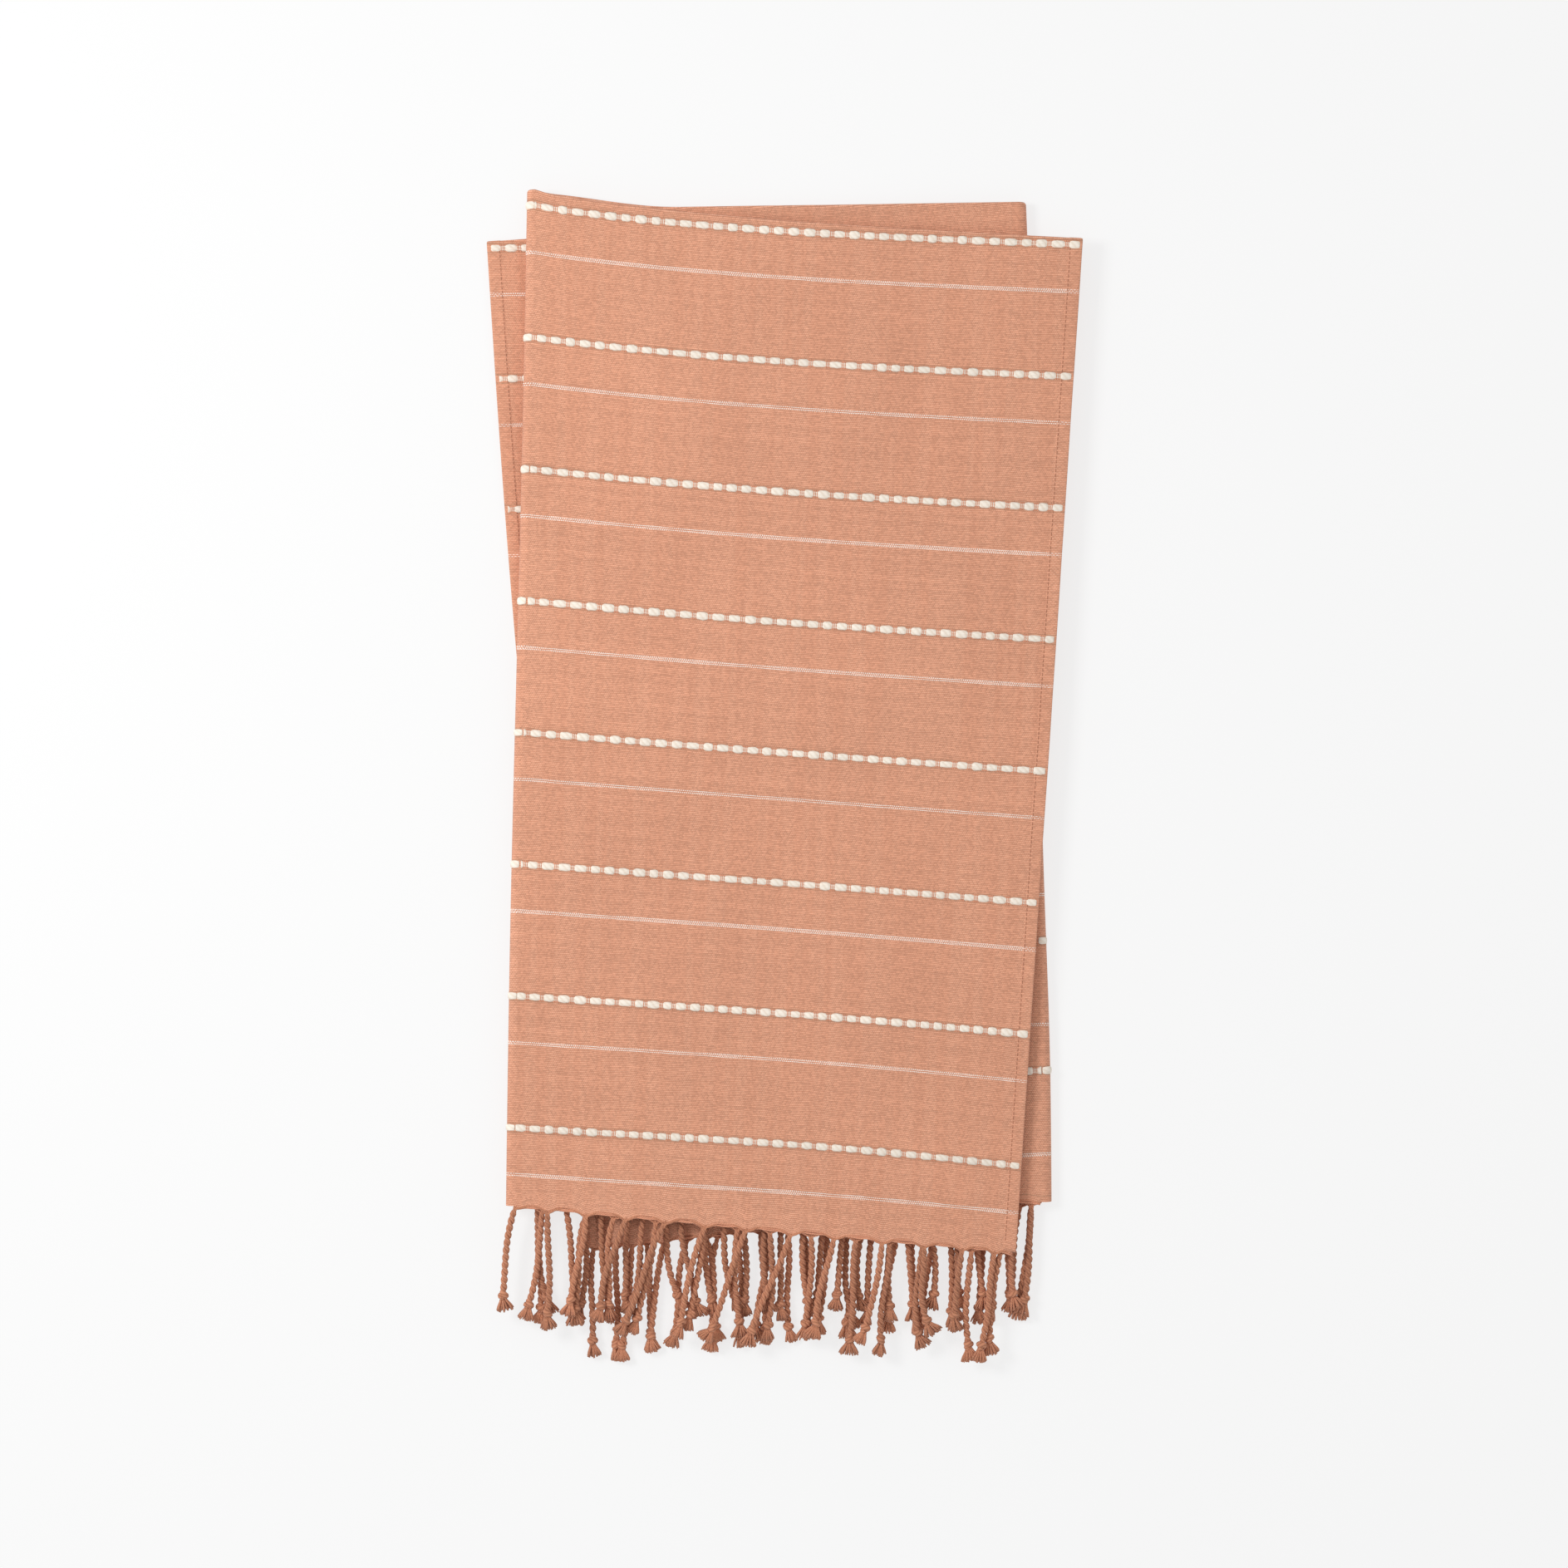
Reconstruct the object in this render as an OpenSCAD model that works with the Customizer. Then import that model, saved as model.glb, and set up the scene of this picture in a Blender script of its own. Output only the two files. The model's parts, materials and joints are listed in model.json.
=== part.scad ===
// A hand-woven cotton throw with ivory stripes and a knotted fringe at both ends.
// It is folded in half end to end, then in three across its width, and lies flat.
// Both fringed ends hang out at the near edge, and the end-to-end fold is at the far edge.

/* [Cloth] */
// Length from the end-to-end fold to the fringed edge
folded_l = 802; // [600:2:1000]
// How much shorter the right fold is, where slack is drawn up
right_fold_slack = 9; // [0:1:20]
// Thickness of one ply
ply_t = 2; // [1:0.1:3]
// Air between the two plies of a third
ply_gap = 0.6; // [0.4:0.1:1.5]
// Air between one third and the next
third_gap = 4.3; // [3.5:0.1:8]
// Width of the turned and stitched hem
hem_w = 10.5; // [6:0.5:20]
// Thickness of a hem
hem_t = 2.2; // [1.2:0.1:2.5]

/* [Thirds] */
// Width of the front third at the origin, from its fold to its hem
front_w = 421; // [300:1:520]
// Width of the middle third at the origin, from fold to fold
middle_w = 418; // [300:1:520]
// Width of the back third at the origin, from its fold to its hem
back_w = 403; // [300:1:520]
// Sideways place of the middle third's centre
middle_x = -4.5; // [-20:0.5:20]
// Lean of the front third's hem, far end to the right
front_hem_lean = 3.8; // [0:0.1:6]
// Lean of the left fold, far end to the right
left_fold_lean = 1.2; // [0:0.1:4]
// Lean of the right fold, far end to the left
right_fold_lean = 1.6; // [0:0.1:4]
// Lean of the back third's hem, far end to the left
back_hem_lean = 5; // [0:0.1:7]
// How far the left fold's far end lies past half the folded length
left_fold_out = 67; // [0:1:100]
// How far the right fold's far end lies past half the folded length
right_fold_out = 60; // [0:1:100]
// How far the front hem's far end lies past half the folded length
front_hem_out = 29; // [0:1:100]
// How far the back hem's far end lies past half the folded length
back_hem_out = 29; // [0:1:100]

/* [Stripes] */
// Distance from one stripe to the next
stripe_pitch = 104.2; // [80:0.2:120]
// Distance from a thick stripe to the thin stripe after it
thin_offset = 37; // [20:1:60]
// First thick stripe's distance from the far edge, at the front hem
first_at_front_hem = 6; // [6:1:30]
// First thick stripe's distance from the far edge, at the left fold
first_at_left_fold = 11; // [6:1:40]
// First thick stripe's distance from the far edge, at the right fold
first_at_right_fold = 32; // [6:1:60]
// First thick stripe's distance from the far edge, at the back hem
first_at_back_hem = 6; // [6:1:40]
// Width of the thick yarn where it swells
slub_w = 6.5; // [4:0.5:9]
// Width of the thick yarn where warp threads tie it down
slub_waist_w = 3.4; // [2:0.2:3.8]
// Length of one swelling
slub_l = 8; // [5:0.5:8.5]
// Distance from one swelling to the next
slub_pitch = 12; // [10:0.5:16]
// Height of the thick yarn above the cloth
slub_h = 0.8; // [0.4:0.1:1.2]
// Width of a thin stripe
thin_w = 3.3; // [2:0.1:5]
// Height of a thin stripe above the cloth
thin_h = 0.3; // [0.2:0.1:0.6]

/* [Fringe] */
// Tassels along one ply of one third
tassels_per_row = 13; // [4:1:13]
// Radius of a twisted cord
cord_r = 2.9; // [1.5:0.1:3.2]
// Length from the cloth to the middle of the knot
cord_l = 77; // [50:1:110]
// Radius of a knot
knot_r = 4.3; // [3.4:0.1:4.3]
// Length of the cut ends below the middle of the knot
tuft_l = 15; // [10:1:25]
// Radius of the cut ends where they leave the knot
tuft_top_r = 3.4; // [2:0.1:3.4]
// Radius of the cut ends at their tip
tuft_r = 4.2; // [3:0.1:4.3]
// Sideways swing of the front fringe, knots to the left
front_sway = 10; // [0:1:14]
// Sideways swing of the other fringes, knots to the right
under_sway = 2; // [0:1:6]
// Gap between the front fringe's cords and the cloth
fringe_gap = 3.4; // [3.2:0.1:5]
// Gap between the other fringes' cords and the cloth
root_gap = 0.6; // [0.5:0.1:2]

/* [Hidden] */
$fn = 48;
// Clearance between pieces on different thirds
move_gap = 0.3;
// Air under a cord or a knot
lift_gap = 0.1;
third_t = 2 * ply_t + ply_gap;
level_pitch = third_t + third_gap;
fold_r = third_t + third_gap / 2;
fold_in = third_gap / 2;
back_z = 0;
middle_z = level_pitch;
front_z = 2 * level_pitch;
right_axis_z = fold_r;
left_axis_z = middle_z + fold_r;
// How far a cutting outline runs past the cloth
over = 20;

// A warp line runs from the far edge to the near edge: [x at the origin, lean, far end, length].
// A positive lean puts the far end further right.
left_x = middle_x - middle_w / 2;
right_x = middle_x + middle_w / 2;
half_l = folded_l / 2;
right_fold_l = folded_l - right_fold_slack;
left_axis = [left_x + fold_r, left_fold_lean, half_l + left_fold_out, folded_l];
right_axis = [right_x - fold_r, -right_fold_lean, half_l + right_fold_out, right_fold_l];
front_edge = [left_x + front_w, front_hem_lean, half_l + front_hem_out, folded_l];
back_edge = [right_x - back_w, -back_hem_lean, half_l + back_hem_out, folded_l];

// Point on a warp line, a distance down from its far end
function down(line, d) =
    let (y = line[2] - d * cos(line[1]))
    [line[0] + y * tan(line[1]), y];
// The same warp line moved sideways
function beside(line, dx) = [line[0] + dx, line[1], line[2], line[3]];
// Point a share of the way from one point to another
function between(a, b, share) = a + (b - a) * share;
// A warp line moved towards another one, with its ends on the edges that join the two
function inset(line, other, w) =
    let (share = w / abs(other[0] - line[0]))
    let (far = between(down(line, 0), down(other, 0), share)[1])
    let (near = between(down(line, line[3]), down(other, other[3]), share)[1])
    [line[0] + w * sign(other[0] - line[0]), line[1], far, (far - near) / cos(line[1])];
// Direction from one point to another
function heading(a, b) = atan2(b[1] - a[1], b[0] - a[0]);

// Outline of a third between its left and right warp lines
function outline(left, right, past) = [
    down(left, -past),
    down(right, -past),
    down(right, right[3]),
    down(left, left[3])
];

// On the other half of the cloth the stripes run the other way from the fold
first_under_left = stripe_pitch - first_at_left_fold;
first_under_right = stripe_pitch - first_at_right_fold;
// Cloth between the last stripe and the fringed edge
row_margin = 5;
// Stripes that fit along a warp line when the first is a given distance down it
function fitting(length, first) = floor((length - first - row_margin) / stripe_pitch) + 1;
function rows(left_l, right_l, first_left, first_right) =
    min(fitting(left_l, first_left), fitting(right_l, first_right));
front_rows = rows(folded_l, folded_l, first_at_left_fold, first_at_front_hem);
front_thin_rows =
    rows(folded_l, folded_l, first_at_left_fold + thin_offset, first_at_front_hem + thin_offset);
middle_rows = rows(folded_l, right_fold_l, first_under_left, first_under_right);
middle_thin_rows =
    rows(folded_l, right_fold_l, first_under_left - thin_offset, first_under_right - thin_offset);
back_rows = rows(folded_l, right_fold_l, first_at_back_hem, first_at_right_fold);
back_thin_rows =
    rows(folded_l, right_fold_l, first_at_back_hem + thin_offset, first_at_right_fold + thin_offset);

terracotta = [0.86, 0.64, 0.52];
clay = [0.75, 0.49, 0.38];
ivory = [0.95, 0.91, 0.86];

// Two plies joined by a round fold, seen along the fold, with the fold's end at the origin
module hairpin_profile(length) {
    mid = third_t / 2;
    translate([-length - mid, 0]) square([length, ply_t]);
    translate([-length - mid, third_t - ply_t]) square([length, ply_t]);
    translate([-mid, mid]) difference() {
        circle(r = mid);
        circle(r = ply_gap / 2);
        translate([-over, -over]) square([over, 2 * over]);
    }
}

// One third of the cloth, both plies, between two warp lines
module third(left, right, z) {
    far_left = down(left, 0);
    far_right = down(right, 0);
    span = norm(far_right - far_left);
    intersection() {
        translate([0, 0, z - over])
            linear_extrude(third_t + 2 * over) polygon(outline(left, right, over));
        translate([far_left[0], far_left[1], z])
            rotate([0, 0, heading(far_left, far_right)])
            translate([-over, 0, 0])
            rotate([90, 0, 90])
            linear_extrude(span + 2 * over) hairpin_profile(folded_l + 3 * over);
    }
}

// Half of a tube along a warp line, open side towards the given direction
module half_tube(line, z, inner, outer, side) {
    near = down(line, line[3]);
    translate([near[0], near[1], z])
        rotate([0, 0, heading(near, down(line, 0)) - 90])
        rotate([90, 0, 0])
        mirror([0, 0, 1])
        linear_extrude(line[3])
        difference() {
            circle(r = outer);
            circle(r = inner);
            translate([side > 0 ? -over : 0, -over]) square([over, 2 * over]);
        }
}

// Both plies turning over at a fold
module fold(line, z, side) {
    half_tube(line, z, fold_in, fold_in + ply_t, side);
    half_tube(line, z, fold_in + ply_t + ply_gap, fold_r, side);
}

// A flat strip beside a hem's warp line
module strip(left, right, z, height) {
    far = third_t / 2;
    translate([0, 0, z]) linear_extrude(height) polygon(outline(left, right, -far));
}

// The hems of both plies of one third
module hem(left, right, z) {
    strip(left, right, z, hem_t);
    strip(left, right, z + third_t - hem_t, hem_t);
}

// Outline of a yarn that swells between its ties, along X from the origin
function slub_outline(length, side) = [
    for (x = [0:slub_pitch:length - slub_pitch])
        for (p = [
            [x + (slub_pitch - slub_l) / 2, slub_waist_w / 2],
            [x + slub_pitch / 2 - slub_l / 4, slub_w / 2],
            [x + slub_pitch / 2 + slub_l / 4, slub_w / 2],
            [x + (slub_pitch + slub_l) / 2, slub_waist_w / 2]
        ])
            [p[0], side * p[1]]
];
function reversed(list) = [for (i = [len(list) - 1:-1:0]) list[i]];

// A thick stripe from one point to another, on top of the cloth
module thick_stripe(a, b, z) {
    length = norm(b - a);
    color(ivory)
        translate([a[0], a[1], z])
        rotate([0, 0, heading(a, b)])
        linear_extrude(slub_h)
        polygon(concat(slub_outline(length, 1), reversed(slub_outline(length, -1))));
}

// A thin stripe from one point to another, on top of the cloth
module thin_stripe(a, b, z) {
    color(ivory)
        translate([a[0], a[1], z])
        rotate([0, 0, heading(a, b)])
        translate([0, -thin_w / 2, 0])
        cube([norm(b - a), thin_w, thin_h]);
}

// Ends of the stripe at given distances down the left and right sides of a third
function stripe_ends(left, right, d_left, d_right) = [down(left, d_left), down(right, d_right)];

// A cord, its knot and its cut ends, hanging along -Y from the origin and rising to the knot
module tassel(sway, rise) {
    color(clay)
        rotate([0, 0, -sway])
        rotate([-atan(rise / cord_l), 0, 0])
        rotate([90, 0, 0]) {
            cylinder(h = cord_l, r = cord_r);
            translate([0, 0, cord_l]) sphere(r = knot_r);
            translate([0, 0, cord_l + knot_r / 2])
                cylinder(h = tuft_l - knot_r / 2, r1 = tuft_top_r, r2 = tuft_r);
        }
}

// The place of a tassel's root on the near edge of a third; phase sets the ply's share of a pitch
function root(left, right, i, phase) =
    between(down(left, left[3]), down(right, right[3]), (i - 1 + phase) / tassels_per_row);

module rooted_tassel(left, right, i, phase, z, gap, sway) {
    root_z = z + cord_r + lift_gap;
    knot_z = z + knot_r + lift_gap;
    at = root(left, right, i, phase);
    translate([at[0], at[1] - gap, root_z]) tassel(sway, knot_z - root_z);
}

// All the tassels along one ply of a third
module fringe_row(left, right, phase, z, sway) {
    for (i = [1:tassels_per_row]) rooted_tassel(left, right, i, phase, z, root_gap, sway);
}

back_hem_line = inset(back_edge, right_axis, hem_w);
front_hem_line = inset(front_edge, left_axis, hem_w);
front_left = beside(left_axis, move_gap);
middle_right = beside(right_axis, -move_gap);
upper_phase = 0.25;
lower_phase = 0.75;
front_top = front_z + third_t;
middle_top = middle_z + third_t;
back_top = back_z + third_t;

module back_panel() {
    color(terracotta) third(back_hem_line, right_axis, back_z);
}

module middle_panel() {
    color(terracotta) third(left_axis, middle_right, middle_z);
}

module front_panel() {
    color(terracotta) third(front_left, front_hem_line, front_z);
}

module left_fold() {
    color(terracotta) fold(left_axis, left_axis_z, -1);
}

module right_fold() {
    color(terracotta) fold(right_axis, right_axis_z, 1);
}

module front_hem() {
    color(terracotta) hem(front_hem_line, front_edge, front_z);
}

module back_hem() {
    color(terracotta) hem(back_edge, back_hem_line, back_z);
}

module front_thick_stripe(i) {
    d = (i - 1) * stripe_pitch;
    ends = stripe_ends(front_left, front_hem_line, d + first_at_left_fold, d + first_at_front_hem);
    thick_stripe(ends[0], ends[1], front_top);
}

module front_thin_stripe(i) {
    d = (i - 1) * stripe_pitch + thin_offset;
    ends = stripe_ends(front_left, front_hem_line, d + first_at_left_fold, d + first_at_front_hem);
    thin_stripe(ends[0], ends[1], front_top);
}

module middle_thick_stripes() {
    for (i = [1:middle_rows]) {
        d = (i - 1) * stripe_pitch;
        ends = stripe_ends(left_axis, middle_right, d + first_under_left, d + first_under_right);
        thick_stripe(ends[0], ends[1], middle_top);
    }
}

module middle_thin_stripes() {
    for (i = [1:middle_thin_rows]) {
        d = (i - 1) * stripe_pitch - thin_offset;
        ends = stripe_ends(left_axis, middle_right, d + first_under_left, d + first_under_right);
        thin_stripe(ends[0], ends[1], middle_top);
    }
}

module back_thick_stripes() {
    for (i = [1:back_rows]) {
        d = (i - 1) * stripe_pitch;
        ends = stripe_ends(back_hem_line, right_axis, d + first_at_back_hem, d + first_at_right_fold);
        thick_stripe(ends[0], ends[1], back_top);
    }
}

module back_thin_stripes() {
    for (i = [1:back_thin_rows]) {
        d = (i - 1) * stripe_pitch + thin_offset;
        ends = stripe_ends(back_hem_line, right_axis, d + first_at_back_hem, d + first_at_right_fold);
        thin_stripe(ends[0], ends[1], back_top);
    }
}

module front_tassel(i) {
    rooted_tassel(left_axis, front_edge, i, upper_phase, front_z, fringe_gap, front_sway);
}

module front_under_fringe() {
    for (i = [1:tassels_per_row])
        rooted_tassel(left_axis, front_edge, i, lower_phase, front_z, fringe_gap, front_sway);
}

module middle_upper_fringe() {
    fringe_row(left_axis, middle_right, upper_phase, middle_z, -under_sway);
}

module middle_lower_fringe() {
    fringe_row(left_axis, middle_right, lower_phase, middle_z, -under_sway);
}

module back_upper_fringe() {
    fringe_row(back_edge, right_axis, upper_phase, back_z, -under_sway);
}

module back_lower_fringe() {
    fringe_row(back_edge, right_axis, lower_phase, back_z, -under_sway);
}

back_panel();
middle_panel();
front_panel();
left_fold();
right_fold();
front_hem();
back_hem();
for (i = [1:front_rows]) {
    front_thick_stripe(i);
}
for (i = [1:front_thin_rows]) {
    front_thin_stripe(i);
}
middle_thick_stripes();
middle_thin_stripes();
back_thick_stripes();
back_thin_stripes();
for (i = [1:tassels_per_row]) {
    front_tassel(i);
}
front_under_fringe();
middle_upper_fringe();
middle_lower_fringe();
back_upper_fringe();
back_lower_fringe();
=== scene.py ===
"""A hand-woven cotton throw, folded into a long flat stack with its fringe at the near edge.

The cloth is folded in half end to end and then in three across its width. Each third is a
hairpin of two plies, and the two side folds join the thirds. Thick and thin ivory stripes run
along the weft, and both ends carry twisted cords that end in a knot and a brush of cut ends.
"""
import json
import logging
import math
import random
from collections.abc import Callable, Sequence
from dataclasses import dataclass
from enum import Enum

import bmesh
import bpy
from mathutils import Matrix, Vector, noise


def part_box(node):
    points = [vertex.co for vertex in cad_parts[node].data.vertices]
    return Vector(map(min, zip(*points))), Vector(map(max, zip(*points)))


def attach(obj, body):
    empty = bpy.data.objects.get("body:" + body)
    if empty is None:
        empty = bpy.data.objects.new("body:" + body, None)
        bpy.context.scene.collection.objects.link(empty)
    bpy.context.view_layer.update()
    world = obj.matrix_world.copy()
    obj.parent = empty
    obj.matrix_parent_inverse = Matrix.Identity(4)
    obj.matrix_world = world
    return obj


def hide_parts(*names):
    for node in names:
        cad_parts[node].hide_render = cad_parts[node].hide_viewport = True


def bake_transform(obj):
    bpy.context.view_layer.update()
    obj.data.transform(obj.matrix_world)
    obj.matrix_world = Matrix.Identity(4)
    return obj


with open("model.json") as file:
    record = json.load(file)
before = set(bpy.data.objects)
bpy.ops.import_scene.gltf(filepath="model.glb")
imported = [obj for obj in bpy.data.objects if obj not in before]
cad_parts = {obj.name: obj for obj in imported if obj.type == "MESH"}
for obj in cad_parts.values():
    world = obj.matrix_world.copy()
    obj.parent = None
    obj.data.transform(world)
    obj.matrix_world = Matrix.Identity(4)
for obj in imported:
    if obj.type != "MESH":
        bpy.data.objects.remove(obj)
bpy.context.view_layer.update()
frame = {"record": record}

MM = 0.001
UP = Vector((0.0, 0.0, 1.0))
THIN_OFFSET = 37.0 * MM
LOG = logging.getLogger("throw")


# ---------------------------------------------------------------------------------------------
# Small helpers
# ---------------------------------------------------------------------------------------------
def mix(a: float, b: float, share: float) -> float:
    """The value a share of the way from a to b."""
    return a + (b - a) * share


def ease(x: float) -> float:
    """A smooth step from 0 to 1, flat outside."""
    x = min(max(x, 0.0), 1.0)
    return x * x * (3.0 - 2.0 * x)


def bump(x: float, middle: float, width: float) -> float:
    """A smooth hill of height 1."""
    return math.exp(-(((x - middle) / width) ** 2))


def fade(x: float, reach: float) -> float:
    """1 at 0, easing to 0 at the reach."""
    return 1.0 - ease(x / reach)


def steps(start: float, end: float, pitch: float) -> list[float]:
    """Evenly spaced values from start to end.

    Args:
        start: The first value.
        end: The last value.
        pitch: The largest gap between two values.

    Returns:
        The values, both ends included.
    """
    count = max(1, math.ceil(abs(end - start) / pitch))
    return [mix(start, end, i / count) for i in range(count + 1)]


# ---------------------------------------------------------------------------------------------
# Where the cloth lies
# ---------------------------------------------------------------------------------------------
class Section(Enum):
    """The parts of the cloth, in order across the weft from the front hem."""

    FRONT = 0
    LEFT_FOLD = 1
    MIDDLE = 2
    RIGHT_FOLD = 3
    BACK = 4


@dataclass(frozen=True)
class WarpLine:
    """A line along the warp, from the far edge of the folded cloth to its near edge."""

    far: Vector
    near: Vector

    @property
    def length(self) -> float:
        """Length of the line."""
        return (self.near - self.far).length

    @property
    def angle(self) -> float:
        """Lean of the line from the Y axis, in radians."""
        return math.atan2(abs(self.far.x - self.near.x), self.far.y - self.near.y)

    def at(self, share: float) -> Vector:
        """The point a share of the way down the line."""
        return self.far.lerp(self.near, share)


@dataclass(frozen=True)
class Ruffle:
    """How far the cloth departs from flat thirds and straight edges, in metres."""

    wave: float = 1.0 * MM
    wave_turns: float = 9.0
    crease: float = 0.35 * MM
    crease_turns: float = 34.0
    left_bow: float = 0.7 * MM
    right_bow: float = 1.2 * MM
    back_bow: float = 6.0 * MM
    back_corner: float = 12.0 * MM
    sag_fade: float = 45.0 * MM
    dip_fade: float = 60.0 * MM
    dip_rise: float = 0.3
    spike_wide: float = 9.0 * MM
    spike_fade: float = 16.0 * MM
    sag_far: float = 6.2 * MM
    sag_near: float = -4.2 * MM
    middle_dip: float = 12.5 * MM
    spike: float = 1.6 * MM
    edge_wander: float = 0.3 * MM
    scallop: float = 3.2 * MM
    scallop_reach: float = 26.0 * MM
    scallop_fade: float = 14.0 * MM
    table_gap: float = 0.3 * MM


@dataclass(frozen=True)
class SlubYarn:
    """Sizes of a thick yarn that swells between its ties, in metres."""

    bead_wide: float = 3.2 * MM
    bead_high: float = 1.3 * MM
    waist_wide: float = 2.1 * MM
    waist_high: float = 0.6 * MM
    waist_pull: tuple[float, float] = (0.97, 0.95)
    bead_length: tuple[float, float] = (6.6 * MM, 9.6 * MM)
    waist_length: tuple[float, float] = (3.2 * MM, 4.4 * MM)


@dataclass(frozen=True)
class CordHang:
    """How one tassel hangs: its root's shift in shares of a pitch, its swing and its length."""

    shift: float
    swing: float
    length: float


FRONT_YARN = SlubYarn()
FRONT_CORDS = (
    CordHang(-0.2, -8, 72 * MM),
    CordHang(-0.38, 0, 82 * MM),
    CordHang(-0.38, -10, 70 * MM),
    CordHang(-0.34, -16, 73 * MM),
    CordHang(-0.30, -22, 85 * MM),
    CordHang(-0.28, -14, 80 * MM),
    CordHang(-0.22, -19, 83 * MM),
    CordHang(-0.06, -22, 84 * MM),
    CordHang(0.06, -12, 70 * MM),
    CordHang(0.30, -11, 71 * MM),
    CordHang(0.38, 2, 60 * MM),
    CordHang(0.38, -7, 54 * MM),
    CordHang(0.22, -8, 76 * MM),
)
MIDDLE_FIRST_CORD = CordHang(0.3, 6, 74 * MM)


class Stack:
    """The folded cloth as a surface: a place for every point of the weave.

    Across runs from 0 to 1 over a section, from the front hem towards the back hem. Run is the
    distance along the warp from the far fold, above 0 on the half of the cloth that is seen on
    the front third and below 0 on the other half.
    """

    HEM = 10.5 * MM
    PLY = 1.8 * MM
    TASSELS = 13
    UPPER_PHASE = 0.25
    LOWER_PHASE = 0.75
    THIRDS = (Section.FRONT, Section.MIDDLE, Section.BACK)

    def __init__(self, ruffle: Ruffle) -> None:
        """Read the fold lines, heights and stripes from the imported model.

        Args:
            ruffle: The departures from a flat stack.
        """
        self.ruffle = ruffle
        self.joints = {j["name"]: j for j in frame["record"]["behaviour"]["joints"]}
        panels = {
            Section.FRONT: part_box("front_panel"),
            Section.MIDDLE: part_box("middle_panel"),
            Section.BACK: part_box("back_panel"),
        }
        self.mid_z = {part: (low[2] + high[2]) / 2 for part, (low, high) in panels.items()}
        low, high = panels[Section.FRONT]
        self.third = high[2] - low[2]
        self.bend = self.third / 2 - self.PLY / 2 - 0.1 * MM
        self.lines = [
            self._hem_line("front_hem", 1),
            self._fold_line("front_third_unfold", "left_fold"),
            self._fold_line("middle_third_unfold", "right_fold"),
            self._hem_line("back_hem", -1),
        ]
        self.axis_z = {
            Section.LEFT_FOLD: self.joints["front_third_unfold"]["pos_m"][2],
            Section.RIGHT_FOLD: self.joints["middle_third_unfold"]["pos_m"][2],
        }
        self.turn_radius = self.mid_z[Section.FRONT] - self.axis_z[Section.LEFT_FOLD]
        self.half_length = self.lines[1].length
        self.widths = {part: self._width(part) for part in Section}
        self.roots = self._all_roots()
        self.stripe_pitch, self.starts = self._stripes()

    def _hem_line(self, node: str, side: int) -> WarpLine:
        """The outer edge of a hem, from the far edge of the cloth to its near edge.

        Args:
            node: The hem's CAD node.
            side: 1 where the hem is on the right, -1 on the left.

        Returns:
            The line.
        """
        low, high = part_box(node)
        if side > 0:
            ends = (Vector((high[0], high[1], 0)), Vector((low[0] + self.HEM, low[1], 0)))
        else:
            ends = (Vector((low[0], high[1], 0)), Vector((high[0] - self.HEM, low[1], 0)))
        out = (ends[0] - ends[1]).normalized()
        return WarpLine(ends[0] + out * (self.third / 2), ends[1])

    def _fold_line(self, joint: str, node: str) -> WarpLine:
        """The warp line along a fold's axis, as long as its CAD node."""
        low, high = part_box(node)
        place, axis = Vector(self.joints[joint]["pos_m"]), Vector(self.joints[joint]["axis"])
        ends = [place + axis * ((y - place.y) / axis.y) for y in (high[1], low[1])]
        return WarpLine(*(Vector((e.x, e.y, 0)) for e in ends))

    def _width(self, section: Section) -> float:
        """Mean width of a section across the weft."""
        if section in self.axis_z:
            return math.pi * self.turn_radius
        a, b = self.bounds_of(section)
        return ((a.far - b.far).length + (a.near - b.near).length) / 2

    def _stripes(self) -> tuple[float, dict[Section, tuple[float, float]]]:
        """The stripes' pitch, and the first one's run at both sides of each section."""
        half = FRONT_YARN.bead_wide
        first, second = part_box("front_thick_stripe_1"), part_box("front_thick_stripe_2")
        pitch = (first[1][1] - second[1][1]) / math.cos(self.lines[1].angle)
        left = (self.lines[1].far.y - first[1][1] + half) / math.cos(self.lines[1].angle)
        hem = (self.lines[0].far.y - first[0][1] - half) / math.cos(self.lines[0].angle)
        right = self.lines[2].far.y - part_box("back_thick_stripes")[1][1] + half
        return pitch, {
            Section.FRONT: (hem, left),
            Section.LEFT_FOLD: (left, left),
            Section.MIDDLE: (left, right),
            Section.RIGHT_FOLD: (right, right),
            Section.BACK: (right, hem),
        }

    def _all_roots(self) -> dict[tuple[Section, bool], list[float]]:
        """The tassels' places on each ply, as shares of the way across a third from its left."""
        roots = {}
        for section in self.THIRDS:
            for upper in (True, False):
                phase = self.UPPER_PHASE if upper else self.LOWER_PHASE
                draw = random.Random(40 + 2 * section.value + upper)
                shifts = [draw.uniform(-0.16, 0.16) for _ in range(self.TASSELS)]
                if section is Section.FRONT and upper:
                    shifts = [cord.shift for cord in FRONT_CORDS]
                if section is Section.MIDDLE and upper:
                    shifts[0] = MIDDLE_FIRST_CORD.shift
                roots[section, upper] = [
                    (i + phase + shift) / self.TASSELS for i, shift in enumerate(shifts)
                ]
        return roots

    def bounds_of(self, section: Section) -> tuple[WarpLine, WarpLine]:
        """The two warp lines on either side of a third."""
        first = self.THIRDS.index(section)
        return self.lines[first], self.lines[first + 1]

    def is_upper(self, section: Section, ply: float) -> bool:
        """Whether a ply is the upper one of its third."""
        return (ply > 0) != (section is Section.MIDDLE)

    @staticmethod
    def from_left(section: Section, across: float) -> float:
        """Share of the way across a third from its left side, or back again."""
        return across if section is Section.MIDDLE else 1 - across

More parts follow.
